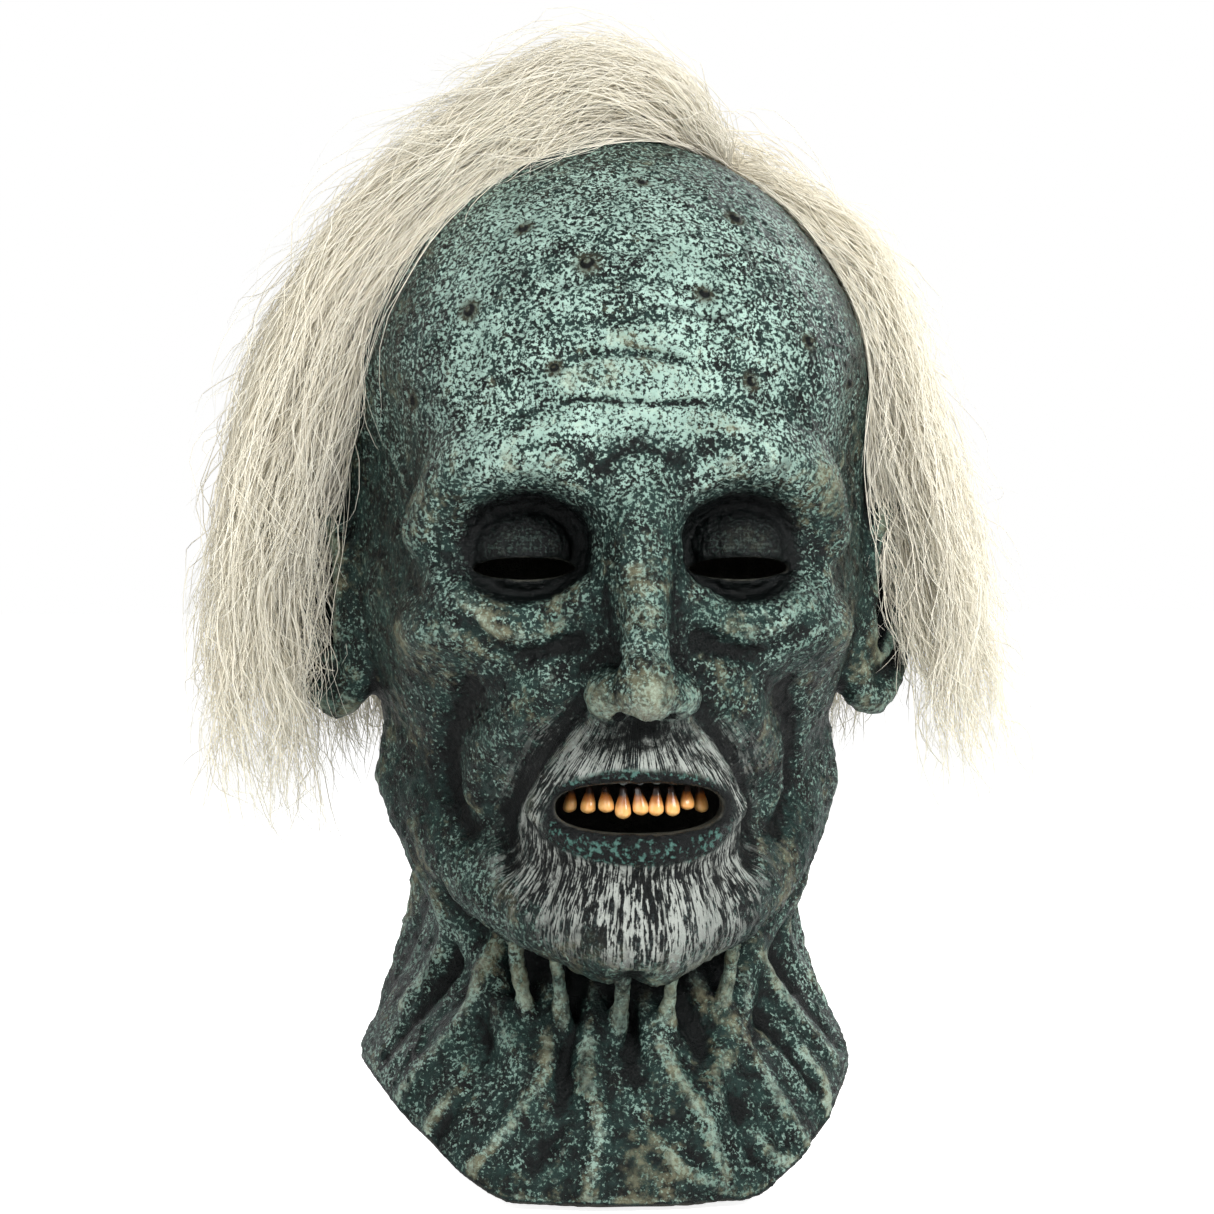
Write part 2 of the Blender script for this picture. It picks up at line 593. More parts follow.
def rim_height(points):
    """Height of the bib's lower edge over each point: flat at the front and back, arched at the sides."""
    across = np.abs(points[:, 0])
    t = np.clip((across - RIM_FLAT) / (RIM_HALF_WIDTH - RIM_FLAT), 0, 1.2)
    ragged = 0.9 * noise(points * (1, 1, 0), 13, 61) + 0.5 * noise(points * (1, 1, 0), 5, 62)
    return RIM_RISE * t ** 1.6 + np.maximum(ragged + 0.3, 0) * blend_in(across, RIM_FLAT - 22, RIM_FLAT + 6)


def cut_rim(s, shell):
    x, y, z = np.meshgrid(s.axes[0], s.axes[1], [0.0], indexing="ij")
    edge = rim_height(np.stack([x.ravel(), y.ravel(), z.ravel()], axis=1)).reshape(x.shape)
    top = int((RIM_RISE * 1.6 - s.low[2]) / s.step)
    below = edge - s.axes[2][None, None, :top]
    shell[:, :, :top] = -smooth_min(-shell[:, :, :top], -below.astype(np.float32), 1.6)


# ---- meshes ---------------------------------------------------------------------------------
def mesh_from_field(s, value):
    """Vertices in head millimetres and quads of the zero surface."""
    grid = openvdb.FloatGrid()
    grid.background = float(FAR * s.step)
    grid.copyFromArray(np.clip(value, -FAR * s.step, FAR * s.step).astype(np.float32))
    points, quads = grid.convertToQuads(isovalue=0)
    return points.astype(float) * s.step + s.low, quads[:, ::-1].astype(np.int32)


def new_object(name, points, faces):
    """A mesh object. points are in head millimetres; faces is an (N, 3) or (N, 4) array."""
    mesh = bpy.data.meshes.new(name)
    size = faces.shape[1]
    mesh.vertices.add(len(points))
    mesh.vertices.foreach_set("co", to_frame(points).astype(np.float32).ravel())
    mesh.loops.add(faces.size)
    mesh.loops.foreach_set("vertex_index", faces.astype(np.int32).ravel())
    mesh.polygons.add(len(faces))
    mesh.polygons.foreach_set("loop_start", np.arange(0, faces.size, size, dtype=np.int32))
    mesh.update(calc_edges=True)
    mesh.validate()
    mesh.shade_smooth()
    piece = bpy.data.objects.new(name, mesh)
    bpy.context.scene.collection.objects.link(piece)
    return piece


def points_of(mesh):
    flat = np.empty(len(mesh.vertices) * 3, np.float32)
    mesh.vertices.foreach_get("co", flat)
    return to_head(flat.reshape(-1, 3))


def normals_of(mesh):
    flat = np.empty(len(mesh.vertices) * 3, np.float32)
    mesh.vertices.foreach_get("normal", flat)
    return flat.reshape(-1, 3).astype(float)


def move_points(mesh, points):
    mesh.vertices.foreach_set("co", to_frame(points).astype(np.float32).ravel())
    mesh.update()


def paint(mesh, name, values):
    """Stores one number for each vertex, for a material to read."""
    layer = mesh.attributes.new(name, "FLOAT", "POINT")
    layer.data.foreach_set("value", np.asarray(values, np.float32))


def refine(mesh, chosen):
    """Splits the faces whose middle the function chosen picks."""
    work = bmesh.new()
    work.from_mesh(mesh)
    middles = to_head(np.array([face.calc_center_median() for face in work.faces]))
    picked = chosen(middles)
    edges = {edge for face, pick in zip(work.faces, picked) if pick for edge in face.edges}
    bmesh.ops.subdivide_edges(work, edges=list(edges), cuts=1, use_grid_fill=True)
    bmesh.ops.triangulate(work, faces=[face for face in work.faces if len(face.verts) > 4])
    work.to_mesh(mesh)
    work.free()
    mesh.shade_smooth()


def box_blur(value, radius):
    """Average over a cube, radius in voxels."""
    out = value
    for axis in range(3):
        pad = [(0, 0)] * 3
        pad[axis] = (radius + 1, radius)
        total = np.cumsum(np.pad(out, pad, mode="edge"), axis=axis, dtype=np.float32)
        width = 2 * radius + 1
        high = np.take(total, range(width, total.shape[axis]), axis=axis)
        low = np.take(total, range(0, total.shape[axis] - width), axis=axis)
        out = (high - low) / width
    return out


# ---- node helpers ------------------------------------------------------------------------------
def put(tree, kind, inputs=None, **settings):
    """Adds a node. An input's value may be a number, a colour or another node's output."""
    node = tree.nodes.new(kind)
    for key, value in settings.items():
        setattr(node, key, value)
    for key, value in (inputs or {}).items():
        if isinstance(value, bpy.types.NodeSocket):
            tree.links.new(value, node.inputs[key])
        else:
            node.inputs[key].default_value = value
    return node


def full(rgb):
    return (*rgb, 1.0)


def mix(tree, factor, a, b):
    """Colour a where factor is 0, colour b where it is 1."""
    inputs = {0: factor}
    for index, value in ((6, a), (7, b)):
        inputs[index] = value if isinstance(value, bpy.types.NodeSocket) else full(value)
    return put(tree, "ShaderNodeMix", inputs, data_type="RGBA").outputs[2]


def maths(tree, operation, a, b):
    return put(tree, "ShaderNodeMath", {0: a, 1: b}, operation=operation).outputs[0]


def times(tree, a, b):
    return maths(tree, "MULTIPLY", a, b)


def weighted(tree, total, *parts):
    """The total with each part's value added, times its share."""
    for value, share in parts:
        inputs = {0: value, 1: share, 2: total}
        total = put(tree, "ShaderNodeMath", inputs, operation="MULTIPLY_ADD").outputs[0]
    return total


def between(tree, value, low, high, out_low=0.0, out_high=1.0):
    """A smooth step: out_low below low, out_high above high."""
    inputs = {"Value": value, "From Min": low, "From Max": high, "To Min": out_low, "To Max": out_high}
    return put(tree, "ShaderNodeMapRange", inputs, interpolation_type="SMOOTHSTEP").outputs[0]


def painted(tree, name):
    """A number stored on the mesh."""
    return put(tree, "ShaderNodeAttribute", attribute_name=name).outputs["Fac"]


def grain(tree, wavelength, detail=3.0, rough=0.6, stretch=None):
    """Noise over the object's own millimetres, about 0.5. stretch lengthens it along an axis."""
    place = put(tree, "ShaderNodeTexCoord").outputs["Object"]
    if stretch is not None:
        scale = [1 / v for v in stretch]
        place = put(tree, "ShaderNodeMapping", {"Vector": place, "Scale": scale}).outputs[0]
    inputs = {"Vector": place, "Scale": 1000 / wavelength, "Detail": detail, "Roughness": rough}
    return put(tree, "ShaderNodeTexNoise", inputs).outputs["Fac"]


def new_group(name, inputs, outputs):
    """A shader node group with named sockets, and its inner input and output nodes."""
    tree = bpy.data.node_groups.new(name, "ShaderNodeTree")
    for label, kind, default in inputs:
        socket = tree.interface.new_socket(name=label, in_out="INPUT", socket_type=kind)
        socket.default_value = default
    for label, kind in outputs:
        tree.interface.new_socket(name=label, in_out="OUTPUT", socket_type=kind)
    return tree, tree.nodes.new("NodeGroupInput"), tree.nodes.new("NodeGroupOutput")


def worn_paint_group():
    """Paint that catches on what stands proud: Relief raises it, Cover spreads it, Grain breaks it up."""
    known = bpy.data.node_groups.get("Worn paint")
    if known:
        return known
    number = "NodeSocketFloat"
    tree, inside, out = new_group(
        "Worn paint",
        [("Relief", number, 0.0), ("Cover", number, 0.5), ("Grain", number, 2.0),
         ("Breakup", number, 1.0), ("Softness", number, 0.1)],
        [("Mask", number), ("Height", number)])
    place = put(tree, "ShaderNodeTexCoord").outputs["Object"]
    scale = maths(tree, "DIVIDE", 1000.0, inside.outputs["Grain"])
    inputs = {"Vector": place, "Scale": scale, "Detail": 4.0, "Roughness": 0.68}
    coarse = put(tree, "ShaderNodeTexNoise", inputs).outputs["Fac"]
    spread = times(tree, maths(tree, "SUBTRACT", coarse, 0.5), inside.outputs["Breakup"])
    level = maths(tree, "ADD", spread, inside.outputs["Relief"])
    level = maths(tree, "ADD", level, inside.outputs["Cover"])
    low = maths(tree, "SUBTRACT", 0.5, inside.outputs["Softness"])
    high = maths(tree, "ADD", 0.5, inside.outputs["Softness"])
    tree.links.new(between(tree, level, low, high), out.inputs["Mask"])
    tree.links.new(level, out.inputs["Height"])
    return tree


def worn_paint(tree, relief, cover, wavelength, breakup, softness):
    """The worn paint group in a material: its mask and its height."""
    inputs = {"Relief": relief, "Cover": cover, "Grain": wavelength, "Breakup": breakup,
              "Softness": softness}
    node = put(tree, "ShaderNodeGroup", inputs, node_tree=worn_paint_group())
    return node.outputs["Mask"], node.outputs["Height"]


def new_material(name, **constants):
    """A material with a lone Principled shader; constants are its fixed sockets."""
    material = bpy.data.materials.new(name)
    material.use_nodes = True
    tree = material.node_tree
    tree.nodes.clear()
    shader = tree.nodes.new("ShaderNodeBsdfPrincipled")
    out = tree.nodes.new("ShaderNodeOutputMaterial")
    tree.links.new(shader.outputs[0], out.inputs[0])
    for key, value in constants.items():
        shader.inputs[key.replace("_", " ")].default_value = value
    return material, tree, shader


def bump(tree, height, strength, millimetres):
    inputs = {"Height": height, "Strength": strength, "Distance": millimetres / 1000}
    return put(tree, "ShaderNodeBump", inputs).outputs["Normal"]


# ---- painted latex --------------------------------------------------------------------------------
SKIN_MAPS = ("relief", "pebble", "deep", "hollow", "beard", "fresh", "fan", "reach", "stubble", "lip",
             "pit", "crack", "inside")


def verdigris_paint(tree, look, maps, tone):
    """Green speckle over the black wash: its colour, cover, mask and height."""
    relief, pebble, fresh = maps["relief"], maps["pebble"], maps["fresh"]
    base = between(tree, tone, 0.3, 0.7, -0.06, 0.04)
    cover = weighted(tree, base, (fresh, 0.16), (relief, 0.10), (pebble, 0.06))
    speckle, height = worn_paint(tree, cover, 0.335, 1.3, 1.85, 0.06)
    shade = mix(tree, between(tree, grain(tree, 7), 0.35, 0.65), look.wash, look.shade)
    deeper = [value * share for value, share in zip(look.verdigris, (0.22, 0.28, 0.26))]
    patches = between(tree, grain(tree, 19), 0.35, 0.65, 0.0, 0.35)
    green = mix(tree, weighted(tree, patches, (fresh, 0.65)), deeper, look.verdigris)
    return mix(tree, speckle, shade, green), cover, speckle, height


def rubbed_paint(tree, look, maps, now):
    """Tan rubbed over the folds, and pale dry brush on what stands proud."""
    relief, pebble, fresh = maps["relief"], maps["pebble"], maps["fresh"]
    base = between(tree, grain(tree, 24), 0.4, 0.7, -0.22, 0.1)
    folds = weighted(tree, base, (relief, 0.20), (fresh, -0.10))
    tan, _ = worn_paint(tree, folds, 0.34, 4.0, 1.2, 0.2)
    now = mix(tree, times(tree, tan, 0.55), now, look.ochre)
    edges = weighted(tree, times(tree, pebble, 0.25), (relief, 0.34))
    pale, _ = worn_paint(tree, edges, 0.08, 2.2, 1.3, 0.2)
    pale = times(tree, pale, between(tree, fresh, 0, 1, 0.25, 0.6))
    return mix(tree, pale, now, look.brushed)


def stubble_paint(tree, look, maps, tone, speckle, now):
    """Charcoal on the lower face, with silver along the stubble: the colour and the strokes."""
    strand = put(tree, "ShaderNodeCombineXYZ", {0: maps["fan"], 2: maps["reach"]}).outputs[0]
    hairs = put(tree, "ShaderNodeTexNoise", {"Vector": strand, "Scale": 1.6, "Detail": 2.0}).outputs["Fac"]
    strokes = weighted(tree, maths(tree, "SUBTRACT", hairs, 0.5), (maps["stubble"], 0.12))
    charcoal = mix(tree, speckle, look.wash, [v * 0.6 for v in look.beard])
    base = between(tree, tone, 0.3, 0.7, -0.1, 0.1)
    level = weighted(tree, base, (strokes, 2.8), (maps["relief"], 0.10))
    silver, _ = worn_paint(tree, level, 0.40, 1.0, 0.8, 0.14)
    charcoal = mix(tree, times(tree, silver, 0.85), charcoal, look.silver)
    return mix(tree, maps["beard"], now, charcoal), strokes


def lip_paint(tree, look, maps, cover, now):
    """Dark wet lips."""
    patches = weighted(tree, cover, (grain(tree, 1.8, 3), 1.0))
    wet = mix(tree, between(tree, patches, 0.56, 0.72), look.wash, look.lips)
    return mix(tree, maps["lip"], now, wet)


def pit_paint(tree, look, maps, now):
    """A stain round each pit, a black ring in it, and black in the cracks."""
    pit = maps["pit"]
    edge = weighted(tree, pit, (grain(tree, 2.4, 3), 3.0))
    halo = maths(tree, "SUBTRACT", 1.0, between(tree, edge, 3.2, 7.6))
    now = mix(tree, times(tree, halo, 0.8), now, look.rust)
    outer = maths(tree, "SUBTRACT", 1.0, between(tree, pit, 1.9, 2.6))
    ring = times(tree, between(tree, pit, 0.7, 1.3), outer)
    now = mix(tree, ring, now, look.wash)
    return mix(tree, times(tree, maps["crack"], 0.95), now, look.wash)


def black_wash(tree, look, maps, now):
    """Black in the hollows and wherever the skin lies deep."""
    sunk = times(tree, maps["deep"], 0.42)
    sunk = weighted(tree, sunk, (maps["relief"], -0.14), (maps["pebble"], -0.12))
    worn_black, _ = worn_paint(tree, sunk, 0.16, 2.2, 1.4, 0.2)
    black = maths(tree, "MAXIMUM", maps["hollow"], worn_black)
    return mix(tree, times(tree, black, 0.97), now, look.wash)


def bare_lining(tree, look, maps, now):
    """Bare latex on the inside."""
    worn = [v * 0.7 for v in look.lining]
    bare = mix(tree, between(tree, grain(tree, 12), 0.4, 0.6), look.lining, worn)
    return mix(tree, maps["inside"], now, bare)


def latex_material(look):
    material, tree, shader = new_material("painted_latex", IOR=1.48, Specular_IOR_Level=0.2)
    maps = {name: painted(tree, name) for name in SKIN_MAPS}
    tone = grain(tree, 30, 3)
    now, cover, speckle, height = verdigris_paint(tree, look, maps, tone)
    now = rubbed_paint(tree, look, maps, now)
    now, strokes = stubble_paint(tree, look, maps, tone, speckle, now)
    now = lip_paint(tree, look, maps, cover, now)
    now = pit_paint(tree, look, maps, now)
    now = black_wash(tree, look, maps, now)
    now = bare_lining(tree, look, maps, now)
    tree.links.new(now, shader.inputs["Base Color"])

    rough = between(tree, height, 0.2, 0.8, 0.34, 0.52)
    wet = maths(tree, "MAXIMUM", maps["hollow"], maps["lip"])
    rough = put(tree, "ShaderNodeMix", {0: wet, 2: rough, 3: 0.2}).outputs[0]
    tree.links.new(rough, shader.inputs["Roughness"])
    bristle = times(tree, strokes, maps["beard"])
    fine = weighted(tree, times(tree, height, 0.8), (grain(tree, 0.7, 2), 0.2), (bristle, 1.2))
    tree.links.new(bump(tree, fine, 0.8, 1.0), shader.inputs["Normal"])
    return material


# Small round pits on the forehead and temples: bearing, height and size.
PITS = [(-31, 291, 1.0), (-24, 318, 0.8), (-9, 306, 1.1), (12, 296, 0.9), (27, 322, 1.0), (33, 281, 0.8),
        (5, 334, 0.7), (-44, 262, 0.9), (50, 268, 0.8), (-14, 272, 0.7), (19, 268, 0.8)]


def brow_mask(points):
    """1 above the brow."""
    return blend_in(points[:, 2], BROW_Z + 3, BROW_Z + 23)


def neck_mask(points):
    """1 below the chin."""
    return 1 - blend_in(points[:, 2], CHIN_Z - 1, CHIN_Z + 19)


def muzzle_mask(points):
    """1 on the lip, jaw and chin that carry the stubble."""
    ring = np.sqrt((points[:, 0] / 46) ** 2 + ((points[:, 2] - MOUTH_Z + 9) / 40) ** 2)
    soft = ring + 0.22 * fractal(points, 14, 31)
    return (1 - blend_in(soft, 0.66, 1.25)) * blend_in(-points[:, 1], 52, 72) * (1 - lip_mask(points))


def lip_mask(points):
    """1 on the dark wet lips round the mouth opening."""
    across = np.abs(points[:, 0] / 32)
    above = np.abs((points[:, 2] - MOUTH_Z + 2) / 17)
    below = np.abs((points[:, 2] - MOUTH_Z + 2) / 14.5)
    up = np.where(points[:, 2] > MOUTH_Z, above, below)
    ring = (across ** 2.4 + up ** 2.4) ** (1 / 2.4) + 0.06 * fractal(points, 8, 37)
    return (1 - blend_in(ring, 0.9, 1.04)) * blend_in(-points[:, 1], 70, 82)


def hollow_mask(points):
    """1 in the eye sockets, mouth, nostrils and ear shells."""
    mask = np.zeros(len(points))

    def add(centre, radius, low=0.86, high=1.08):
        away = np.linalg.norm((points - centre) / radius, axis=1) + 0.05 * noise(points, 6, 35)
        np.maximum(mask, 1 - blend_in(away, low, high), out=mask)

    for side in SIDES:
        add((side * (EYE_X + 0.5), -82, EYE_Z - 1), (25, 21, 19.5), 0.84, 1.06)
        add((side * 6.8, -113, NOSE_Z - 9), (4.5, 8, 4.5))
        add((side * 98, 14, EAR_Z + 2), (12, 13, 27), 0.75, 1.05)
    add((0, -86, MOUTH_Z + 2), (28, 14, 9.5), 0.9, 1.1)
    add((0, -48, 77), (44, 24, 14), 0.7, 1.1)
    return mask


def skin_lines(points):
    """Fine lines: level ones on the brow, upright ones on the neck, and a crazing between."""
    warp = np.stack([noise(points, 18, 70 + i) for i in range(3)], axis=1) * 3.5
    bent = points + warp
    brow, neck = brow_mask(points), neck_mask(points)

    def lines(stretch, wavelength, seed, width):
        value = fractal(bent * stretch, wavelength, seed, 2)
        return np.exp(-(value / width) ** 2)

    level = lines((0.22, 0.22, 1), 15, 41, 0.014) * brow * blend_in(noise(points, 30, 42), -0.35, 0.15)
    upright = lines((1, 1, 0.28), 9.0, 43, 0.05) * neck
    crazing = lines((1, 1, 1), 12, 45, 0.04) * (1 - brow) * (1 - neck)
    return level, upright, crazing


def stubble_fan(points):
    """The stubble's height, and the places round and down the fan that it grows in.

    The fan opens downwards from the bridge of the nose.
    """
    across = np.arctan2(points[:, 0], -points[:, 1] - 52) * 52
    down = np.maximum(NOSE_Z + 14 - points[:, 2], 8)
    fan, reach = np.arctan2(across, down) * 60, np.hypot(across, down) * 0.11
    grown = np.stack([fan, 0 * fan, reach], axis=1)
    stubble = noise(grown, 1.25, 51) + 0.55 * noise(grown, 2.3, 52) + 0.3 * noise(points, 2.2, 53)
    return stubble, fan, reach


def press_pits(s, points, height):
    """Presses the pits with their raised rings into height; returns the way to the nearest one."""
    pit = np.full(len(points), 12.0)
    bearings, heights, sizes = zip(*PITS)
    for centre, size in zip(skin_at(s, bearings, heights)[0], sizes):
        away = np.linalg.norm(points - centre, axis=1) / size
        height += -1.5 * np.exp(-(away / 1.9) ** 4) + 0.45 * np.exp(-((away - 2.9) / 0.8) ** 2)
        pit = np.minimum(pit, away)
    return pit


def rim_roll(points):
    """1 on the thick edge of the bib, with a broken second roll above it."""
    near = points[:, 2] - rim_height(points)
    second = 0.5 * np.exp(-((near - 7) / 2.2) ** 2) * blend_in(noise(points, 16, 36), -0.1, 0.3)
    return np.exp(-((near - 1.8) / 1.7) ** 2) + second


def fresh_paint(points):
    """How much of the green is left: most on the brow, less on the face, least on the neck."""
    neck = neck_mask(points)
    front = blend_in(-points[:, 1], -20, 60)
    sides = blend_in(np.abs(points[:, 0]), 52, 84)
    fresh = 0.06 + 0.90 * blend_in(points[:, 2], 205, 265) * (0.25 + 0.75 * front)
    fresh = np.maximum(fresh, 0.26 * front * blend_in(points[:, 2], 150, 180))
    fresh = np.maximum(fresh, neck * (0.05 + 0.35 * blend_in(np.abs(points[:, 0]), 35, 85)))
    fresh *= 1 - 0.6 * sides * (1 - neck)
    return np.clip(fresh + 0.3 * fractal(points, 34, 33), 0, 1)


def skin_height(s, points, look):
    """Fine relief in millimetres, and the maps that the paint follows."""
    neck, beard = neck_mask(points), muzzle_mask(points)
    pebble = 0.55 * noise(points, 3.0, 11) + 0.45 * noise(points @ rotation("x", 31), 1.8, 12)
    pebble += (0.3 + 0.2 * neck) * noise(points @ rotation("y", 23), 6.0, 13)
    level, upright, crazing = skin_lines(points)
    stubble, fan, reach = stubble_fan(points)
    height = 0.5 * fractal(points, 17, 21) + look.pebble * (1 - 0.15 * neck) * pebble * (1 - 0.8 * beard)
    height -= 0.45 * level + 0.5 * upright + 0.4 * crazing
    height += 0.32 * stubble * beard
    pit = press_pits(s, points, height)
    rim = rim_roll(points)
    height += 1.1 * rim
    crack = np.maximum(0.8 * level, 0.6 * np.maximum(upright, crazing))
    return height, {"rim": rim, "pebble": pebble, "beard": beard, "lip": lip_mask(points),
                    "stubble": stubble, "fan": fan, "reach": reach, "pit": pit,
                    "fresh": fresh_paint(points), "crack": crack}


def carved_relief(s, points):
    """How far each place stands proud of what is round it, and how deep it lies."""
    small, large, wide = (
        s.sample(points, box_blur(s.value, max(least, round(reach / s.step))))
        for least, reach in ((1, 2.2), (2, 6.0), (3, 12.0)))
    relief = np.clip(3.0 * small + 0.22 * large - 0.05, -1.5, 1.3) * (1 - 0.5 * brow_mask(points))
    return relief, np.clip(0.2 - 0.28 * wide - 0.35 * large, -0.7, 1.5)


# The front of the skin is meshed finer: ahead of FINE_Y, between two heights, to a depth.
FINE_Y = -36
FINE_LOW = 84
FINE_HIGH = 322
FINE_DEPTH = 1.3
HEAD = {}


def the_head(look):
    """The sculpted head and its bare skull, made once and used by the skin and the hair."""
    step = look.step * 1
    if step not in HEAD:
        HEAD[step] = sculpt_head(step)
    return HEAD[step]


def sculpt_head(step):
    s = Sculpt((-122, -142, -12), (122, 136, 362), step)
    sculpt_skull(s)
    skull = s.value.copy()
    sculpt_face(s)
    for side in SIDES:
        sculpt_ear(s, side)
    sculpt_folds(s)
    sculpt_neck(s)
    return s, skull


def open_skin(s, skull, wall):
    """Hollows the head out and opens the rim, vision slits, mouth and nostrils.

    Returns the distances of the outer surface alone.
    """
    for side in SIDES:
        s.cut(ball((side * 6.6, -113, NOSE_Z - 9.5), (3.8, 6.5, 5)), 2)
    cavity = np.maximum(skull, s.value) + wall
    outer, s.value = s.value, np.maximum(s.value, -cavity)
    for side in SIDES:
        s.cut(slot(side * EYE_X, EYE_Z - 7.5, 16.5, 3.6, -104, -30), 1.2)
    s.cut(slot(0, MOUTH_Z + 2.2, 27, 8.2, -124, -60, 2.5), 1.6)
    cut_rim(s, s.value)
    return outer


class MASK_OT_skin(bpy.types.Operator):
    """Sculpts the latex skin and paints it"""
    bl_idname = "mask.skin"
    bl_label = "Latex skin"

    def execute(self, context):
        look = context.scene.mask_skin
        s, skull = the_head(look)
        outer = open_skin(s, skull, look.wall)
        points, quads = mesh_from_field(s, s.value)
        s.value = outer
        skin = new_object("skin", points, quads)
        mesh = skin.data

        def front(middles):
            _, y, z = middles.T
            place = (y < FINE_Y) & (z > FINE_LOW) & (z < FINE_HIGH)
            return place & (s.sample(middles) > -FINE_DEPTH)

        refine(mesh, front)
        points, normals = points_of(mesh), normals_of(mesh)
        outside = blend_in(s.sample(points), -1.6, -0.5)
        height, maps = skin_height(s, points, look)
        relief, maps["deep"] = carved_relief(s, points)
        relief += 0.9 * maps.pop("rim")
        points += normals * (height * outside)[:, None]
        move_points(mesh, points)
        maps["relief"] = relief
        maps["hollow"] = hollow_mask(points) * (1 - blend_in(relief, 0.5, 1.3))
        maps["inside"] = 1 - outside
        for name, values in maps.items():
            paint(mesh, name, values)
        mesh.materials.append(latex_material(look))
        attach(skin, "root")
        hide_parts("latex_skin")
        return {"FINISHED"}


# ---- teeth and gum ------------------------------------------------------------------------------
# The teeth stand along the front half of an ellipse: its middle, half width and depth.
ARCH_Y = -64.0
ARCH_HALF_WIDTH = 27.0
ARCH_DEPTH = 33.0
TOOTH_HALF_WIDTH = 2.45
TOOTH_HALF_DEPTH = 2.15
# A tooth's outline: shares of its height from the biting end, and of its half width there.
TOOTH_HEIGHTS = [0, 0.15, 0.28, 0.42, 0.58, 0.72, 0.86, 1]
TOOTH_WIDTHS = [0.80, 0.95, 1, 0.95, 0.80, 0.64, 0.54, 0.46]
TOOTH_NODES = sorted(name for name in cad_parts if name.startswith("upper_tooth_"))


def lathe(profile, around, shape):
    """A closed body from (height, radius) rows. shape moves each ring's points."""
    points = []
    for height, radius in profile:
        for i in range(around):
            angle = 2 * math.pi * i / around
            points.append(shape(height, radius * math.cos(angle), radius * math.sin(angle)))
    rings = len(profile)
    first, last = len(points), len(points) + 1
    points += [shape(profile[0][0], 0, 0), shape(profile[-1][0], 0, 0)]
    faces = []
    for ring in range(rings - 1):
        for i in range(around):
            j, low, high = (i + 1) % around, ring * around, (ring + 1) * around
            faces += [(low + i, low + j, high + j), (low + i, high + j, high + i)]
    for i in range(around):
        j, high = (i + 1) % around, (rings - 1) * around
        faces += [(first, j, i), (last, high + i, high + j)]
    return np.array(points), np.array(faces)


def tooth_material(look):
    material, tree, shader = new_material("tooth_enamel", IOR=1.52, Coat_Weight=0.35, Coat_Roughness=0.12)
    up = painted(tree, "up")
    streak = grain(tree, 3.2, 3, 0.6, (0.45, 0.45, 2.2))
    edge = weighted(tree, up, (maths(tree, "SUBTRACT", streak, 0.5), 0.3))
    pale = [v * f for v, f in zip(look.amber, (1.0, 1.22, 1.5))]
    warm = mix(tree, between(tree, grain(tree, 2.2), 0.35, 0.7), look.amber, pale)
    brown = mix(tree, between(tree, edge, 0.26, 0.58), warm, (0.36, 0.12, 0.025))
    dark = mix(tree, between(tree, edge, 0.55, 0.80), brown, look.root)
    tree.links.new(dark, shader.inputs["Base Color"])
    tree.links.new(between(tree, streak, 0.3, 0.7, 0.24, 0.36), shader.inputs["Roughness"])
    tree.links.new(bump(tree, streak, 0.25, 0.4), shader.inputs["Normal"])
    return material


def gum_material(look):
    material, tree, shader = new_material("gum_latex", IOR=1.5, Coat_Weight=0.4, Coat_Roughness=0.15)
    wet = grain(tree, 3.0, 3)
    tone = mix(tree, between(tree, wet, 0.42, 0.7), look.gum, (0.05, 0.075, 0.065))
    tree.links.new(tone, shader.inputs["Base Color"])
    tree.links.new(between(tree, wet, 0.3, 0.7, 0.2, 0.34), shader.inputs["Roughness"])
    tree.links.new(bump(tree, wet, 0.4, 0.5), shader.inputs["Normal"])
    return material


def build_tooth(node, material, rng):
    low, high = (to_head(np.array(corner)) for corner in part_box(node))
    middle, size = (low + high) / 2, high - low
    turn = math.asin(max(-1.0, min(1.0, middle[0] / ARCH_HALF_WIDTH)))
    lean = rng.uniform(-0.10, 0.10)
    chip = rng.uniform(-0.12, 0.12)
    heights = np.linspace(0, 1, 24) ** 1.15
    outline = np.interp(heights, TOOTH_HEIGHTS, TOOTH_WIDTHS)
    tip = 0.17                  # share of the height that rounds off at the biting end
    rounding = np.sqrt(np.clip(1 - (1 - heights / tip) ** 2, 0, 1)) * (heights < tip) + (heights >= tip)
    top = np.where(heights > 0.97, 0.6, 1.0)
    rows = list(zip(heights, outline * np.maximum(rounding, 0.05) * top))

    def shape(t, across, along):
        taper = 1 + 0.10 * math.cos(t * 3.0)
        x, y = across * TOOTH_HALF_WIDTH * taper, along * TOOTH_HALF_DEPTH * (0.82 + 0.18 * (1 - t))
        y += -0.5 * (1 - t) ** 2 + 0.35 * t
        x += lean * (t - 0.4) * size[2] + chip * math.sin(5 * t)
        y += 0.16 * math.cos(3 * math.atan2(along, across))
        return (middle[0] + x * math.cos(turn) - y * math.sin(turn),
                middle[1] + x * math.sin(turn) + y * math.cos(turn),
                low[2] + t * size[2])

    points, faces = lathe(rows, 20, shape)
    piece = new_object(node.replace("upper_", ""), points, faces)
    paint(piece.data, "up", (points[:, 2] - low[2]) / size[2])
    piece.data.materials.append(material)
    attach(piece, "root")
    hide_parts(node)


class MASK_OT_teeth(bpy.types.Operator):
    """Makes the row of upper teeth"""
    bl_idname = "mask.teeth"
    bl_label = "Teeth"

    def execute(self, context):
        rng = np.random.default_rng(5)
        material = tooth_material(context.scene.mask_mouth)
        for node in TOOTH_NODES:
            build_tooth(node, material, rng)
        return {"FINISHED"}


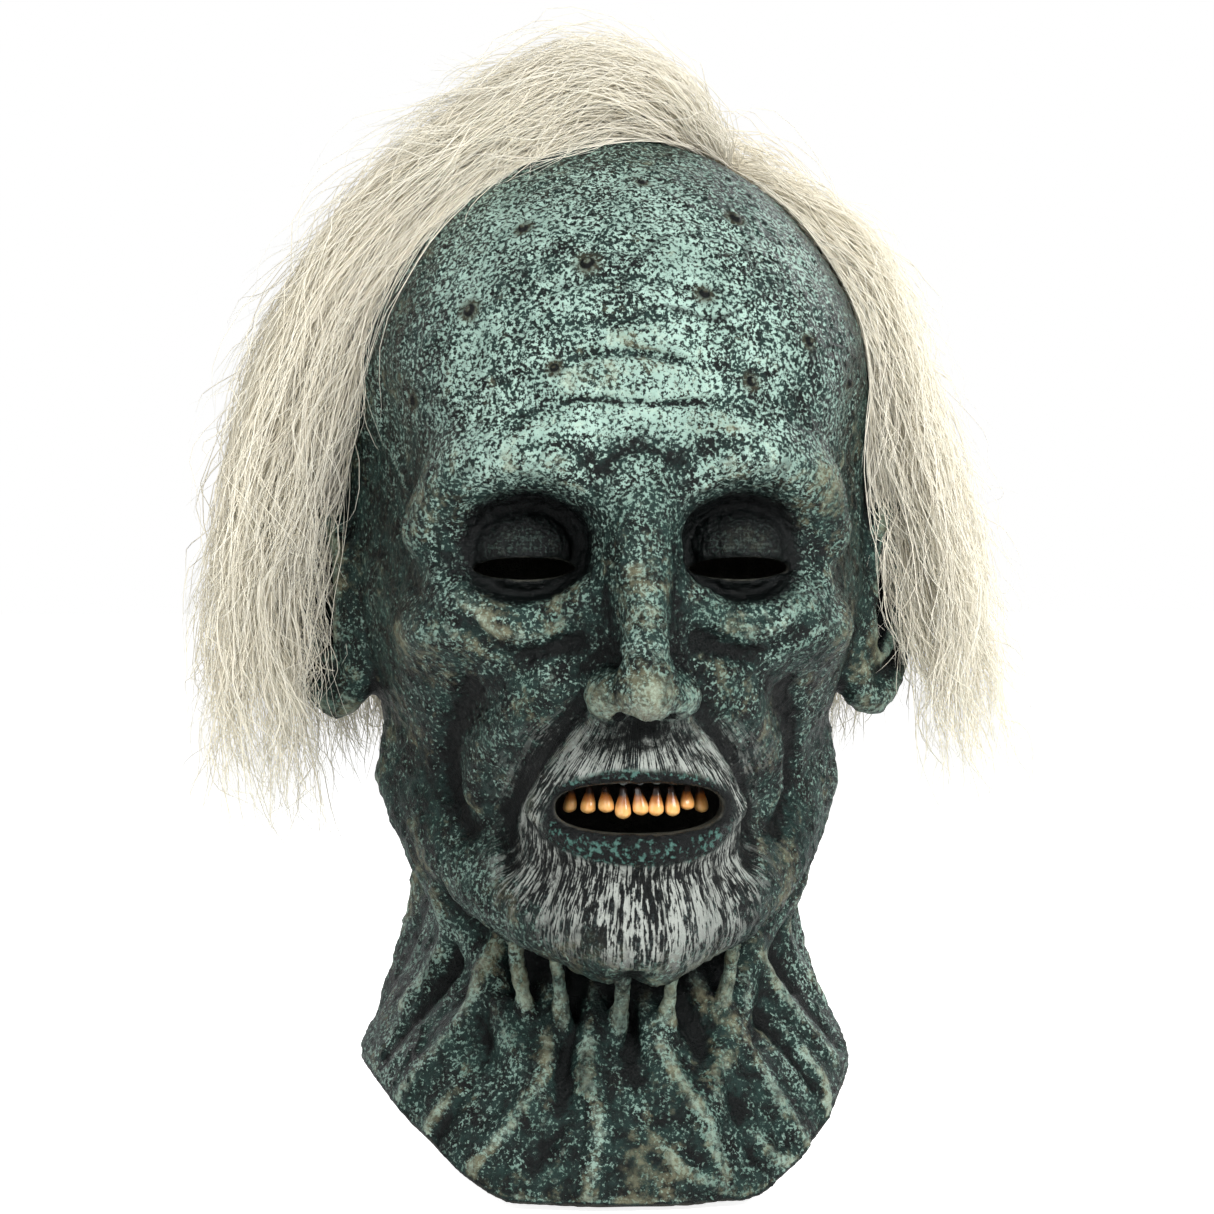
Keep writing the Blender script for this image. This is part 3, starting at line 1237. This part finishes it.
class MASK_OT_gum(bpy.types.Operator):
    """Makes the gum that the teeth grow from"""
    bl_idname = "mask.gum"
    bl_label = "Upper gum"

    def execute(self, context):
        low, high = (to_head(np.array(corner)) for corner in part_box("upper_gum"))
        s = Sculpt(low - 4, high + 4, 0.6)
        reach = math.asin(min(1.0, (high[0] - 2.5) / ARCH_HALF_WIDTH))
        angles = np.linspace(-reach, reach, 25)
        middle = (low[2] + high[2]) / 2
        for lift, radius in ((1.9, 2.3), (-0.4, 2.1)):
            arch = [(ARCH_HALF_WIDTH * math.sin(a), ARCH_Y - ARCH_DEPTH * math.cos(a), middle + lift, radius)
                    for a in angles]
            s.join(cord(arch, 2), 1.6)
        for node in TOOTH_NODES:
            foot, top = (to_head(np.array(corner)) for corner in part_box(node))
            place = (foot + top) / 2
            s.join(ball((place[0], place[1] - 0.4, middle - 0.4), (2.3, 2.3, 3.6)), 1.2)
        points, quads = mesh_from_field(s, s.value)
        points += 0.25 * noise(points, 2.6, 81)[:, None] * s.slope(points)
        points = np.clip(points, low - 0.2, high + 0.2)
        piece = new_object("gum", points, quads)
        piece.data.materials.append(gum_material(context.scene.mask_mouth))
        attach(piece, "root")
        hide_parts("upper_gum")
        return {"FINISHED"}


# ---- hair ----------------------------------------------------------------------------------------
# Falls of hair beside the face: x, y, z and half thickness, from the crown to the tips.
LEFT_FALL = [(34, 26, 342, 14), (12, 10, 357, 17), (-8, 2, 363, 18), (-40, -1, 346, 19), (-68, 0, 322, 20),
             (-89, 4, 294, 20), (-102, 9, 262, 20), (-110, 14, 230, 18), (-115, 16, 198, 16),
             (-115, 18, 166, 16), (-108, 16, 114, 17)]
RIGHT_FALL = [(40, 34, 340, 12), (62, 18, 328, 11), (86, 9, 302, 15), (98, 10, 264, 17), (109, 13, 228, 17),
              (118, 16, 192, 16), (125, 16, 166, 15), (131, 16, 128, 14)]
LEFT_BACK = [(-60, 44, 326, 20), (-90, 46, 274, 21), (-102, 48, 222, 17), (-106, 46, 190, 14),
             (-106, 44, 158, 12)]
RIGHT_BACK = [(58, 44, 326, 16), (88, 46, 274, 18), (99, 48, 222, 16), (107, 46, 190, 13),
              (112, 44, 160, 11)]
TUFT = [(40, 32, 338, 13), (26, 18, 352, 14), (8, 8, 363, 17), (-12, 4, 364, 18), (-42, 3, 345, 18),
        (-70, 4, 322, 18)]
# Loose fibres that lie over the edge of the bald scalp.
LEFT_WISPS = [(14, 8, 352, 5), (-28, -4, 342, 7), (-58, -12, 318, 8), (-80, -14, 286, 7),
              (-89, -10, 256, 6)]
RIGHT_WISPS = [(46, 14, 340, 5), (68, 0, 320, 6), (84, -6, 292, 6), (91, -6, 262, 5)]
TUFT_RADIUS = 44.0
TUFT_DEPTH = 1.6                # strands spread this many times as far front to back as across
FALL_DEPTH = 1.3
HAIR_HEM = 154.0
MASS_THICKNESS = 9.5            # of the soft mass on the scalp
# The mass starts behind HAIRLINE_Y, and further back the lower it is below HAIRLINE_Z.
HAIRLINE_Y = 24
HAIRLINE_Z = 250
CAP_RADIUS = 92.0               # strands over the crown turn down round this radius
CAP_MIDDLE_Z = 240.0
HAIR_LIFT = 1.6                 # how far strands keep off the skin
ROOT_DEPTH = 3.0
# Hanks: piece, the node it stands for, first and last bearing round the crown (degrees from +X
# towards the back), falls that its strands follow with the share of them that each takes (the
# rest fall from the crown), share of the full number of strands, and whether it has a mass.
HANKS = [
    ("hank_left_front", "hair_left_front", 156, 250, [(LEFT_FALL, 0.97), (LEFT_WISPS, 0.03)], 0.96, True),
    ("hank_left_outer", "hair_left_front", 156, 250, [(LEFT_FALL, 1.0)], 1.0, False),
    ("hank_right_front", "hair_right_front", -70, 24, [(RIGHT_FALL, 0.98), (RIGHT_WISPS, 0.02)], 1.0, True),
    ("hank_crown_tuft", "hair_crown_tuft", 0, 360, [(TUFT, 1.0)], 1.0, True),
    ("hank_left_back", "hair_left_back", 128, 156, [(LEFT_BACK, 0.5)], 0.9, True),
    ("hank_right_back", "hair_right_back", 24, 52, [(RIGHT_BACK, 0.5)], 0.9, True),
    ("hank_back_left", "hair_back_left", 102, 128, [], 0.85, True),
    ("hank_back_centre", "hair_back_centre", 78, 102, [], 0.85, True),
    ("hank_back_right", "hair_back_right", 52, 78, [], 0.85, True),
]
STRAND_POINTS = 13
# How many times as far as long strands short fibres wave, on a fall and over the crown.
FALL_CURL = 1.7
CAP_CURL = 1.6
LOCK_SHADES = 5000              # shades drawn for the clumps of a hank
CAP_CLUMPS = 1000               # clumps over the crown are numbered from here
# Waves that a clump's strands share, and each strand's own: size, wavelength and seed offset.
CLUMP_WAVES = [(12.0, 42, 0), (5.5, 20, 5)]
OWN_WAVES = [(7.0, 25, 10), (3.4, 11, 15)]


def unit(v):
    return v / np.maximum(np.linalg.norm(v, axis=-1, keepdims=True), 1e-9)


def spread_disc(rng, count):
    """Random places in a disc of radius 1, a little denser near its edge."""
    radius, angle = rng.uniform(0, 1, count) ** 0.42, rng.uniform(0, 2 * math.pi, count)
    return np.stack([radius * np.cos(angle), radius * np.sin(angle)], axis=1)


def gathered(rng, offset, clumps, along, pull):
    """Pulls offsets towards the nearest of some clump centres as they go along the strand."""
    centres = spread_disc(rng, clumps)
    near = np.argmin(((offset[:, None, :] - centres[None]) ** 2).sum(-1), axis=1)
    weight = (pull * along ** 1.1)[..., None]
    return offset[:, None, :] * (1 - weight) + centres[near][:, None, :] * weight, near


def fall_frame(cords):
    """A fall's middle line, half thickness, length so far, and ways along and across it."""
    path = curve_through(cords, 8)
    centre, radius = path[:, :3], path[:, 3]
    length = np.concatenate([[0], np.cumsum(np.linalg.norm(np.diff(centre, axis=0), axis=1))])
    tangent = unit(np.gradient(centre, axis=0))
    return centre, radius, length, tangent, unit(np.cross(tangent, [0.0, 1.0, 0.0]))


def fall_strands(rng, cords, count, clumps, depth):
    """Strands that follow a fall, (count, STRAND_POINTS, 3), with each one's clump and curl.

    Just over half are short woolly fibres near the surface, the rest run most of the fall.
    """
    centre, radius, length, tangent, side = fall_frame(cords)
    total = length[-1]
    front = np.cross(side, tangent)
    short = rng.uniform(0, 1, count) < 0.55
    along = np.linspace(0, 1, STRAND_POINTS)[None, :].repeat(count, 0)
    disc = spread_disc(rng, count)
    disc[short] = unit(disc[short]) * rng.uniform(0.66, 1.14, short.sum())[:, None]
    offset, clump = gathered(rng, disc, clumps, along, np.where(short, 0.4, 0.62)[:, None])
    stray = rng.normal(0, 1, (count, 1, 2)) * np.where(short, 0.42, 0.12)[:, None, None]
    offset = offset + stray * (along[..., None] - 0.3)
    start = total * np.where(short, rng.uniform(0, 0.92, count), rng.beta(1.0, 1.9, count) * 0.72)
    reach = np.where(short, rng.uniform(45, 110, count), total * rng.uniform(0.28, 0.62, count))
    last = 0.66 + 0.34 * rng.uniform(0, 1, clumps) ** 0.7
    end = np.minimum(start + reach, total * np.minimum(last[clump] + rng.normal(0, 0.035, count), 1.0))
    start = np.minimum(start, end - 0.10 * total)
    at = np.clip(start[:, None] + (end - start)[:, None] * along, 0, total)

    def look_up(values):
        return np.stack([np.interp(at, length, values[:, i]) for i in range(values.shape[1])], axis=-1)

    size = np.interp(at, length, radius) * (0.50 + 0.50 * blend_in(along, 0.0, 0.22))
    size *= rng.normal(1, 0.10, clumps)[clump][:, None]
    spread = offset[..., :1] * look_up(side) + depth * offset[..., 1:] * look_up(front)
    return look_up(centre) + size[..., None] * spread, clump, np.where(short, FALL_CURL, 1.0)


def cap_strands(rng, s, first, last, count, clumps):
    """Strands over the back of the head between two bearings, with each one's clump and curl."""
    along = np.linspace(0, 1, STRAND_POINTS)[None, :].repeat(count, 0)
    disc = spread_disc(rng, count) * 0.5 + 0.5
    offset, clump = gathered(rng, disc, clumps, along, np.full((count, 1), 0.35))
    short = rng.uniform(0, 1, count) < 0.5
    bearing = np.radians(first + (last - first) * (rng.uniform(-0.06, 1.06, count)))
    bearing = bearing[:, None] + 0.10 * (offset[..., 0] - 0.5)
    top = np.where(short, rng.uniform(-25, 76, count), rng.uniform(40, 75, count))
    fall = np.where(short, rng.uniform(50, 110, count), rng.uniform(120, 235, count))
    # Each strand turns over the crown by its arc length, then hangs straight down.
    angle = np.radians(top)[:, None] - fall[:, None] * along / CAP_RADIUS
    drop = np.maximum(-angle, 0) * CAP_RADIUS
    angle = np.maximum(angle, 0)
    # The hair stands thicker round the tuft on the crown.
    depth = 8 + (10.5 + 11 * blend_in(angle, 0.55, 1.2)) * offset[..., 1] * blend_in(along, 0, 0.2)
    level = np.cos(angle)
    flat = np.stack([np.cos(bearing) * level, np.sin(bearing) * level, np.sin(angle)], axis=-1)
    middle = np.broadcast_to(np.array([0, AXIS_Y, CAP_MIDDLE_Z]), (flat.size // 3, 3))
    skin = s.outwards(middle, flat.reshape(-1, 3)).reshape(flat.shape)
    place = skin + flat * depth[..., None]
    outwards = np.stack([np.cos(bearing), np.sin(bearing), np.zeros_like(bearing)], axis=-1)
    place = place - outwards * (drop * 0.07)[..., None]
    place[..., 2] -= drop
    floor = HAIR_HEM + rng.uniform(-12, 8, count)[:, None] + 9 * noise(place[:, 0], 26, 98)[:, None]
    place[..., 2] = np.where(place[..., 2] < floor, floor + (place[..., 2] - floor) * 0.12, place[..., 2])
    return place, clump + CAP_CLUMPS, np.where(short, CAP_CURL, 1.0)


def wave(strands, clump, curl, seed):
    """Shared waves for each clump and small ones for each strand, stronger where curl is."""
    count, steps, _ = strands.shape
    along = np.linspace(0, 1, steps)[None, :, None]
    flat = strands.reshape(-1, 3)
    key = np.repeat(clump, steps)[:, None] * np.array([[31.7, 17.3, 11.9]])
    own = np.repeat(np.arange(count), steps)[:, None] * np.array([[13.1, 7.7, 5.3]])
    own_size = np.repeat(curl, steps)
    move = np.zeros_like(flat)
    for i in range(3):
        for size, wavelength, more in CLUMP_WAVES:
            move[:, i] += size * noise(flat + key, wavelength, seed + more + i)
        for size, wavelength, more in OWN_WAVES:
            move[:, i] += own_size * size * noise(flat + own, wavelength, seed + more + i)
    return strands + move.reshape(strands.shape) * (0.3 + 0.7 * along)


def keep_off(s, strands):
    """Pushes strands out to HAIR_LIFT off the skin. Their roots may lie ROOT_DEPTH under it."""
    flat = strands.reshape(-1, 3).copy()
    rooted = np.tile(np.arange(strands.shape[1]) < 1, len(strands))
    for _ in range(3):
        gap = s.sample(flat) - HAIR_LIFT
        gap[rooted] += HAIR_LIFT + ROOT_DEPTH
        close = gap < 0
        flat[close] -= s.slope(flat[close]) * gap[close, None]
    out = flat.reshape(strands.shape)
    out[:, 1:-1] = 0.5 * out[:, 1:-1] + 0.25 * (out[:, :-2] + out[:, 2:])
    return out


def hold_in(strands, room=9.0, give=0.25):
    """Draws in what strays more than room past the mask's own box."""
    low, high = to_head(np.array(CAD_BOX[0])) - room, to_head(np.array(CAD_BOX[1])) + room
    strands = np.where(strands > high, high + (strands - high) * give, strands)
    return np.where(strands < low, low + (strands - low) * give, strands)


def tubes(strands, radius):
    """Three-sided tapering tubes, closed at both ends."""
    count, steps, _ = strands.shape
    tangent = unit(np.gradient(strands, axis=1))
    side = unit(np.cross(tangent, np.array([0.31, 0.83, 0.47])))
    front = np.cross(tangent, side)
    along = np.linspace(0, 1, steps)
    taper = np.clip(np.minimum(along / 0.05 + 0.35, (1 - along) / 0.35 + 0.16), 0, 1)
    size = radius[:, None] * taper[None, :]
    corners = []
    for i in range(3):
        angle = 2 * math.pi * i / 3
        corners.append(strands + size[..., None] * (math.cos(angle) * side + math.sin(angle) * front))
    points = np.stack(corners, axis=2).reshape(-1, 3)
    base = (np.arange(count) * steps * 3)[:, None, None, None]
    ring = (np.arange(steps - 1) * 3)[None, :, None, None]
    low_a = base + ring + np.array([0, 1, 2])[None, None, :, None]
    low_b = base + ring + np.array([1, 2, 0])[None, None, :, None]
    high_a, high_b = low_a + 3, low_b + 3
    lower, upper = np.concatenate([low_a, low_b, high_b], -1), np.concatenate([low_a, high_b, high_a], -1)
    walls = np.concatenate([lower, upper], 2)
    ends = np.concatenate([base[..., 0, 0] + np.array([[0, 2, 1]]),
                           base[..., 0, 0] + (steps - 1) * 3 + np.array([[0, 1, 2]])])
    return points, np.concatenate([walls.reshape(-1, 3), ends])


def hair_field(s):
    """The soft mass under the loose strands."""
    mass = Sculpt((-150, -40, 112), (150, 160, 400), 2.4)

    def shell(x, y, z):
        flat = np.stack(np.broadcast_arrays(x, y, z), axis=-1).reshape(-1, 3)
        size = np.broadcast_shapes(x.shape, y.shape, z.shape)
        layer = s.sample(flat).reshape(size) - MASS_THICKNESS
        behind = HAIRLINE_Y - y + np.where(z < HAIRLINE_Z, 0.14 * (HAIRLINE_Z - z), 0)
        hem = HAIR_HEM + 26 + 16 * noise(flat * (1, 1, 0.2), 17, 97).reshape(size) - z
        return np.maximum(np.maximum(layer, behind), hem).astype(np.float32)

    mass.join((np.array([-122.0, 8, 130]), np.array([122.0, 136, 362]), shell))
    for path, shrink in ((LEFT_FALL, 0.72), (RIGHT_FALL, 0.62), (LEFT_BACK, 0.7), (RIGHT_BACK, 0.7)):
        short = path[2:-3] if len(path) > 6 else path[:-1]
        thin = np.interp(np.linspace(0, 1, len(short)), [0, 0.3, 0.7, 1], [0.45, 1, 1, 0.5])
        short = [(x, y, z, r * shrink * t) for (x, y, z, r), t in zip(short, thin)]
        mass.join(cord(short), 9)
    x, y, z = np.meshgrid(*mass.axes, indexing="ij")
    flat = np.stack([x, y, z], axis=-1).reshape(-1, 3)
    scalp = s.sample(flat).reshape(mass.value.shape)
    mass.value = np.maximum(mass.value, 2.2 - scalp).astype(np.float32)
    return mass, x, y - AXIS_Y


def hank_mass(mass, x, y, first, last, inset):
    """The part of the mass between two bearings, outside the tuft, or the tuft itself.

    Neighbours overlap by a few millimetres, and each lies inset below the full surface.
    """
    away = np.hypot(x, y)
    if last - first >= 360:
        return np.maximum(mass.value + inset, away - TUFT_RADIUS - 3)
    middle, half = math.radians((first + last) / 2), math.radians((last - first) / 2)
    turn = np.arctan2(y, x) - middle
    turn = (turn + math.pi) % (2 * math.pi) - math.pi
    wedge = np.maximum((np.abs(turn) - half) * away - 4, TUFT_RADIUS - 4 - away)
    return np.maximum(mass.value + inset, wedge).astype(np.float32)


def along_fall(points, cords):
    """Places beside and along a fall of hair: across, front to back, and length from its start."""
    path, _, length, tangent, side = fall_frame(cords)
    near = np.argmin(((points[:, None, :] - path[None]) ** 2).sum(-1), axis=1)
    away = points - path[near]
    down = length[near] + (away * tangent[near]).sum(1)
    return np.stack([(away * side[near]).sum(1), away[:, 1], down], axis=1)


def over_crown(points):
    """Places round and down the back of the head, for hair that falls from the crown."""
    x, y = points[:, 0], points[:, 1] - AXIS_Y
    bearing = np.arctan2(y, x)
    return np.stack([bearing * 95, np.hypot(x, y) * 0.3, points[:, 2]], axis=1)


def hair_material(look):
    material, tree, shader = new_material("hair_fibre", Sheen_Weight=0.5, Sheen_Roughness=0.6,
                                          Specular_IOR_Level=0.25)
    lock, along, deep = painted(tree, "lock"), painted(tree, "along"), painted(tree, "deep")
    flow = put(tree, "ShaderNodeCombineXYZ", {i: painted(tree, f"flow_{i}") for i in range(3)}).outputs[0]
    streak = put(tree, "ShaderNodeTexNoise", {"Vector": flow, "Scale": 1.0, "Detail": 4.0}).outputs["Fac"]
    tone = weighted(tree, times(tree, lock, 0.4), (streak, 0.8))
    fibre = mix(tree, between(tree, tone, 0.3, 0.8), [v * 0.87 for v in look.cream], look.cream)
    hidden = times(tree, deep, between(tree, streak, 0.35, 0.6, 0.75, 0.25))
    fibre = mix(tree, hidden, fibre, look.straw)
    bright = [min(1, v * f) for v, f in zip(look.cream, (1.1, 1.13, 1.2))]
    fibre = mix(tree, between(tree, along, 0.55, 1.0, 0, 0.5), fibre, bright)
    tree.links.new(fibre, shader.inputs["Base Color"])
    tree.links.new(between(tree, streak, 0.3, 0.7, 0.62, 0.8), shader.inputs["Roughness"])
    tree.links.new(bump(tree, streak, 0.7, 0.8), shader.inputs["Normal"])
    return material


def tape_material(look):
    material, tree, shader = new_material("woven_tape", Sheen_Weight=0.3, Specular_IOR_Level=0.2)
    place = put(tree, "ShaderNodeTexCoord").outputs["Object"]
    threads = []
    for direction in ("X", "Z"):
        inputs = {"Vector": place, "Scale": 520.0, "Distortion": 0.6}
        threads.append(put(tree, "ShaderNodeTexWave", inputs, bands_direction=direction).outputs["Fac"])
    weave = times(tree, threads[0], threads[1])
    worn = mix(tree, between(tree, grain(tree, 9), 0.4, 0.7), look.tape, [v * 0.62 for v in look.tape])
    tone = mix(tree, times(tree, weave, 0.6), [v * 0.4 for v in look.tape], worn)
    tree.links.new(tone, shader.inputs["Base Color"])
    tree.links.new(between(tree, weave, 0, 1, 0.95, 0.8), shader.inputs["Roughness"])
    tree.links.new(bump(tree, weave, 0.6, 0.3), shader.inputs["Normal"])
    return material


def hank_strands(rng, s, first, last, falls, total):
    """The strands of a hank with each one's clump and curl: those on falls, then the rest."""
    groups, taken = [], 0
    for path, part in falls:
        count = int(total * part)
        depth = TUFT_DEPTH if path is TUFT else FALL_DEPTH
        groups.append(fall_strands(rng, path, count, max(6, count // 36), depth))
        taken += count
    if taken < total:
        rest = total - taken
        groups.append(cap_strands(rng, s, first, last, rest, max(6, rest // 22)))
    return (np.concatenate(parts) for parts in zip(*groups))


def loose_part(rng, strands, clump, radius):
    """Points, faces and colour maps of a hank's strands."""
    points, faces = tubes(strands, radius)
    each = STRAND_POINTS * 3
    along = np.tile(np.repeat(np.linspace(0, 1, STRAND_POINTS), 3), len(strands))
    shade = rng.uniform(0, 1, LOCK_SHADES)[clump % LOCK_SHADES] * 0.6
    lock = np.repeat(shade + rng.uniform(0, 1, len(strands)) * 0.4, each)
    own = np.repeat(rng.uniform(0, 90, len(strands)), each)
    return points, faces, {"lock": lock, "along": along, "deep": 0.25 * (1 - along),
                           "flow_0": lock * 90, "flow_1": own, "flow_2": along * 6}


def mass_part(mass, value, falls):
    """Points, faces and colour maps of a hank's soft mass, combed the way that its hair falls."""
    points, quads = mesh_from_field(mass, value)
    place = along_fall(points, falls[0][0]) if falls else over_crown(points)
    place = place + 3 * np.stack([noise(points, 24, 95 + i) for i in range(3)], axis=1)
    streak = fractal(place * (1, 1, 0.14), 7, 91, 2)
    lumps = noise(place * (1, 1, 0.4), 24, 93)
    points += mass.slope(points) * (3.0 * streak + 5.0 * lumps - 1.0)[:, None]
    across, through, down = (place * (1 / 0.9, 1 / 0.9, 1 / 15)).T
    maps = {"lock": blend_in(streak, -0.5, 0.5), "along": np.zeros(len(points)),
            "deep": 1 - 0.7 * blend_in(streak + lumps, -0.4, 0.5),
            "flow_0": across, "flow_1": through, "flow_2": down}
    return points, np.concatenate([quads[:, :3], quads[:, [0, 2, 3]]]), maps


def both_parts(loose, under):
    """Two parts as one: points, faces and maps."""
    points, faces, maps = loose
    more_points, more_faces, more_maps = under
    maps = {key: np.concatenate([maps[key], more_maps[key]]) for key in maps}
    return np.concatenate([points, more_points]), np.concatenate([faces, more_faces + len(points)]), maps


class MASK_OT_hair(bpy.types.Operator):
    """Grows the hanks of hair and weaves the tapes under them"""
    bl_idname = "mask.hair"
    bl_label = "Hair and tapes"

    def execute(self, context):
        look = context.scene.mask_hair
        s = the_head(context.scene.mask_skin)[0]
        mass, x, y = hair_field(s)
        material = hair_material(look)
        fewer, thicker = ((1, 1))
        for index, (name, node, first, last, falls, share, solid) in enumerate(HANKS):
            rng = np.random.default_rng(200 + index)
            total = int(look.strands * share * fewer)
            strands, clump, curl = hank_strands(rng, s, first, last, falls, total)
            strands = wave(strands, clump, curl, 300 + 20 * index)
            strands = hold_in(keep_off(s, strands))
            radius = look.fibre * rng.uniform(0.6, 1.35, len(strands)) * thicker
            part = loose_part(rng, strands, clump, radius)
            if solid:
                # Neighbours lie at different depths, so that their surfaces don't coincide.
                inset = 0.5 + 0.4 * (index % 4)
                value = hank_mass(mass, x, y, first, last, inset)
                part = both_parts(part, mass_part(mass, value, falls))
            points, faces, maps = part
            piece = new_object(name, points, faces)
            for key, values in maps.items():
                paint(piece.data, key, values)
            piece.data.materials.append(material)
            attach(piece, "root")
            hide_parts(node)
        weave = tape_material(look)
        for name in ("weft_tape_front", "weft_tape_middle", "weft_tape_nape"):
            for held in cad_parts[name].material_slots:
                held.material = weave
        return {"FINISHED"}


# ---- stage ---------------------------------------------------------------------------------------
# Lamps: name, bearing from the face, height, distance, size and power.
LAMPS = [
    ("key", 28, 0.8, 1.5, 0.8, 32),
    ("fill", -38, 0.35, 1.8, 1.2, 13),
    ("rim_left", -140, 0.7, 1.6, 0.7, 9),
    ("rim_right", 140, 0.7, 1.6, 0.7, 9),
]


def paper_material(look):
    material, tree, shader = new_material("stage_paper", Specular_IOR_Level=0.1)
    shader.inputs["Emission Color"].default_value = (1, 1, 1, 1)
    seen = put(tree, "ShaderNodeLightPath").outputs["Is Camera Ray"]
    tree.links.new(times(tree, seen, 0.84), shader.inputs["Emission Strength"])
    tone = mix(tree, grain(tree, 400, 2), look.paper, [v * 0.985 for v in look.paper])
    tree.links.new(tone, shader.inputs["Base Color"])
    tree.links.new(between(tree, grain(tree, 60), 0.3, 0.7, 0.85, 0.95), shader.inputs["Roughness"])
    return material


def add_light(name, bearing, height, distance, size, power):
    """A soft square lamp aimed at the middle of the mask."""
    lamp = bpy.data.lights.new(name, "AREA")
    lamp.shape = "SQUARE"
    lamp.size = size
    lamp.energy = power
    holder = bpy.data.objects.new(name, lamp)
    angle = math.radians(bearing)
    target = Vector((0, 0, (CAD_BOX[0][2] + CAD_BOX[1][2]) / 2))
    holder.location = target + Vector((math.sin(angle) * distance, -math.cos(angle) * distance, height))
    holder.rotation_euler = (target - holder.location).to_track_quat("-Z", "Y").to_euler()
    bpy.context.scene.collection.objects.link(holder)


class MASK_OT_stage(bpy.types.Operator):
    """Sets the floor, the lamps and the camera"""
    bl_idname = "mask.stage"
    bl_label = "Stage"

    def execute(self, context):
        scene, look = context.scene, context.scene.mask_stage
        bpy.ops.mesh.primitive_plane_add(size=14, location=(0, 0, CAD_BOX[0][2] - 0.0015))
        floor = context.object
        floor.name = "floor"
        floor.data.materials.append(paper_material(look))
        world = bpy.data.worlds.new("soft_room")
        scene.world = world
        world.use_nodes = True
        room = world.node_tree
        back = room.nodes["Background"]
        seen = put(room, "ShaderNodeLightPath").outputs["Is Camera Ray"]
        room.links.new(between(room, seen, 0, 1, look.room, 1.0), back.inputs["Strength"])
        back.inputs["Color"].default_value = (1, 1, 1, 1)
        for lamp in LAMPS:
            add_light(*lamp)

        camera = bpy.data.objects.new("camera", bpy.data.cameras.new("camera"))
        target = Vector((-0.003, 0, CAD_BOX[0][2] + (CAD_BOX[1][2] - CAD_BOX[0][2]) * 0.5))
        away = Vector((math.sin(look.azimuth) * math.cos(look.elevation),
                       -math.cos(look.azimuth) * math.cos(look.elevation), math.sin(look.elevation)))
        camera.location = target + away * look.distance
        camera.rotation_euler = (target - camera.location).to_track_quat("-Z", "Y").to_euler()
        camera.data.lens = look.lens
        camera.data.sensor_width = 36
        scene.collection.objects.link(camera)
        scene.camera = camera
        scene.view_settings.view_transform = "Standard"
        return {"FINISHED"}


# ---- add-on --------------------------------------------------------------------------------------
class MASK_PT_panel(bpy.types.Panel):
    """Steps of the mask in the sidebar"""
    bl_idname = "MASK_PT_panel"
    bl_label = "Latex mask"
    bl_space_type = "VIEW_3D"
    bl_region_type = "UI"
    bl_category = "Mask"

    def draw(self, context):
        layout = self.layout
        for title, group in SETTINGS.items():
            box = layout.box()
            settings = getattr(context.scene, title)
            for key in group.__annotations__:
                box.prop(settings, key)
        for step in STEPS:
            layout.operator(step.bl_idname)


SETTINGS = {
    "mask_skin": MaskSkinSettings,
    "mask_mouth": MaskMouthSettings,
    "mask_hair": MaskHairSettings,
    "mask_stage": MaskStageSettings,
}
STEPS = [MASK_OT_skin, MASK_OT_teeth, MASK_OT_gum, MASK_OT_hair, MASK_OT_stage]


def register():
    for group in SETTINGS.values():
        bpy.utils.register_class(group)
    for title, group in SETTINGS.items():
        setattr(bpy.types.Scene, title, bpy.props.PointerProperty(type=group))
    for step in STEPS:
        bpy.utils.register_class(step)
    bpy.utils.register_class(MASK_PT_panel)


def unregister():
    bpy.utils.unregister_class(MASK_PT_panel)
    for step in reversed(STEPS):
        bpy.utils.unregister_class(step)
    for title in SETTINGS:
        delattr(bpy.types.Scene, title)
    for group in reversed(list(SETTINGS.values())):
        bpy.utils.unregister_class(group)


def run_step(step):
    """Calls a step's operator through bpy.ops."""
    space, name = step.bl_idname.split(".")
    getattr(getattr(bpy.ops, space), name)()


def main():
    register()
    for step in STEPS:
        run_step(step)


if __name__ == "__main__":
    main()
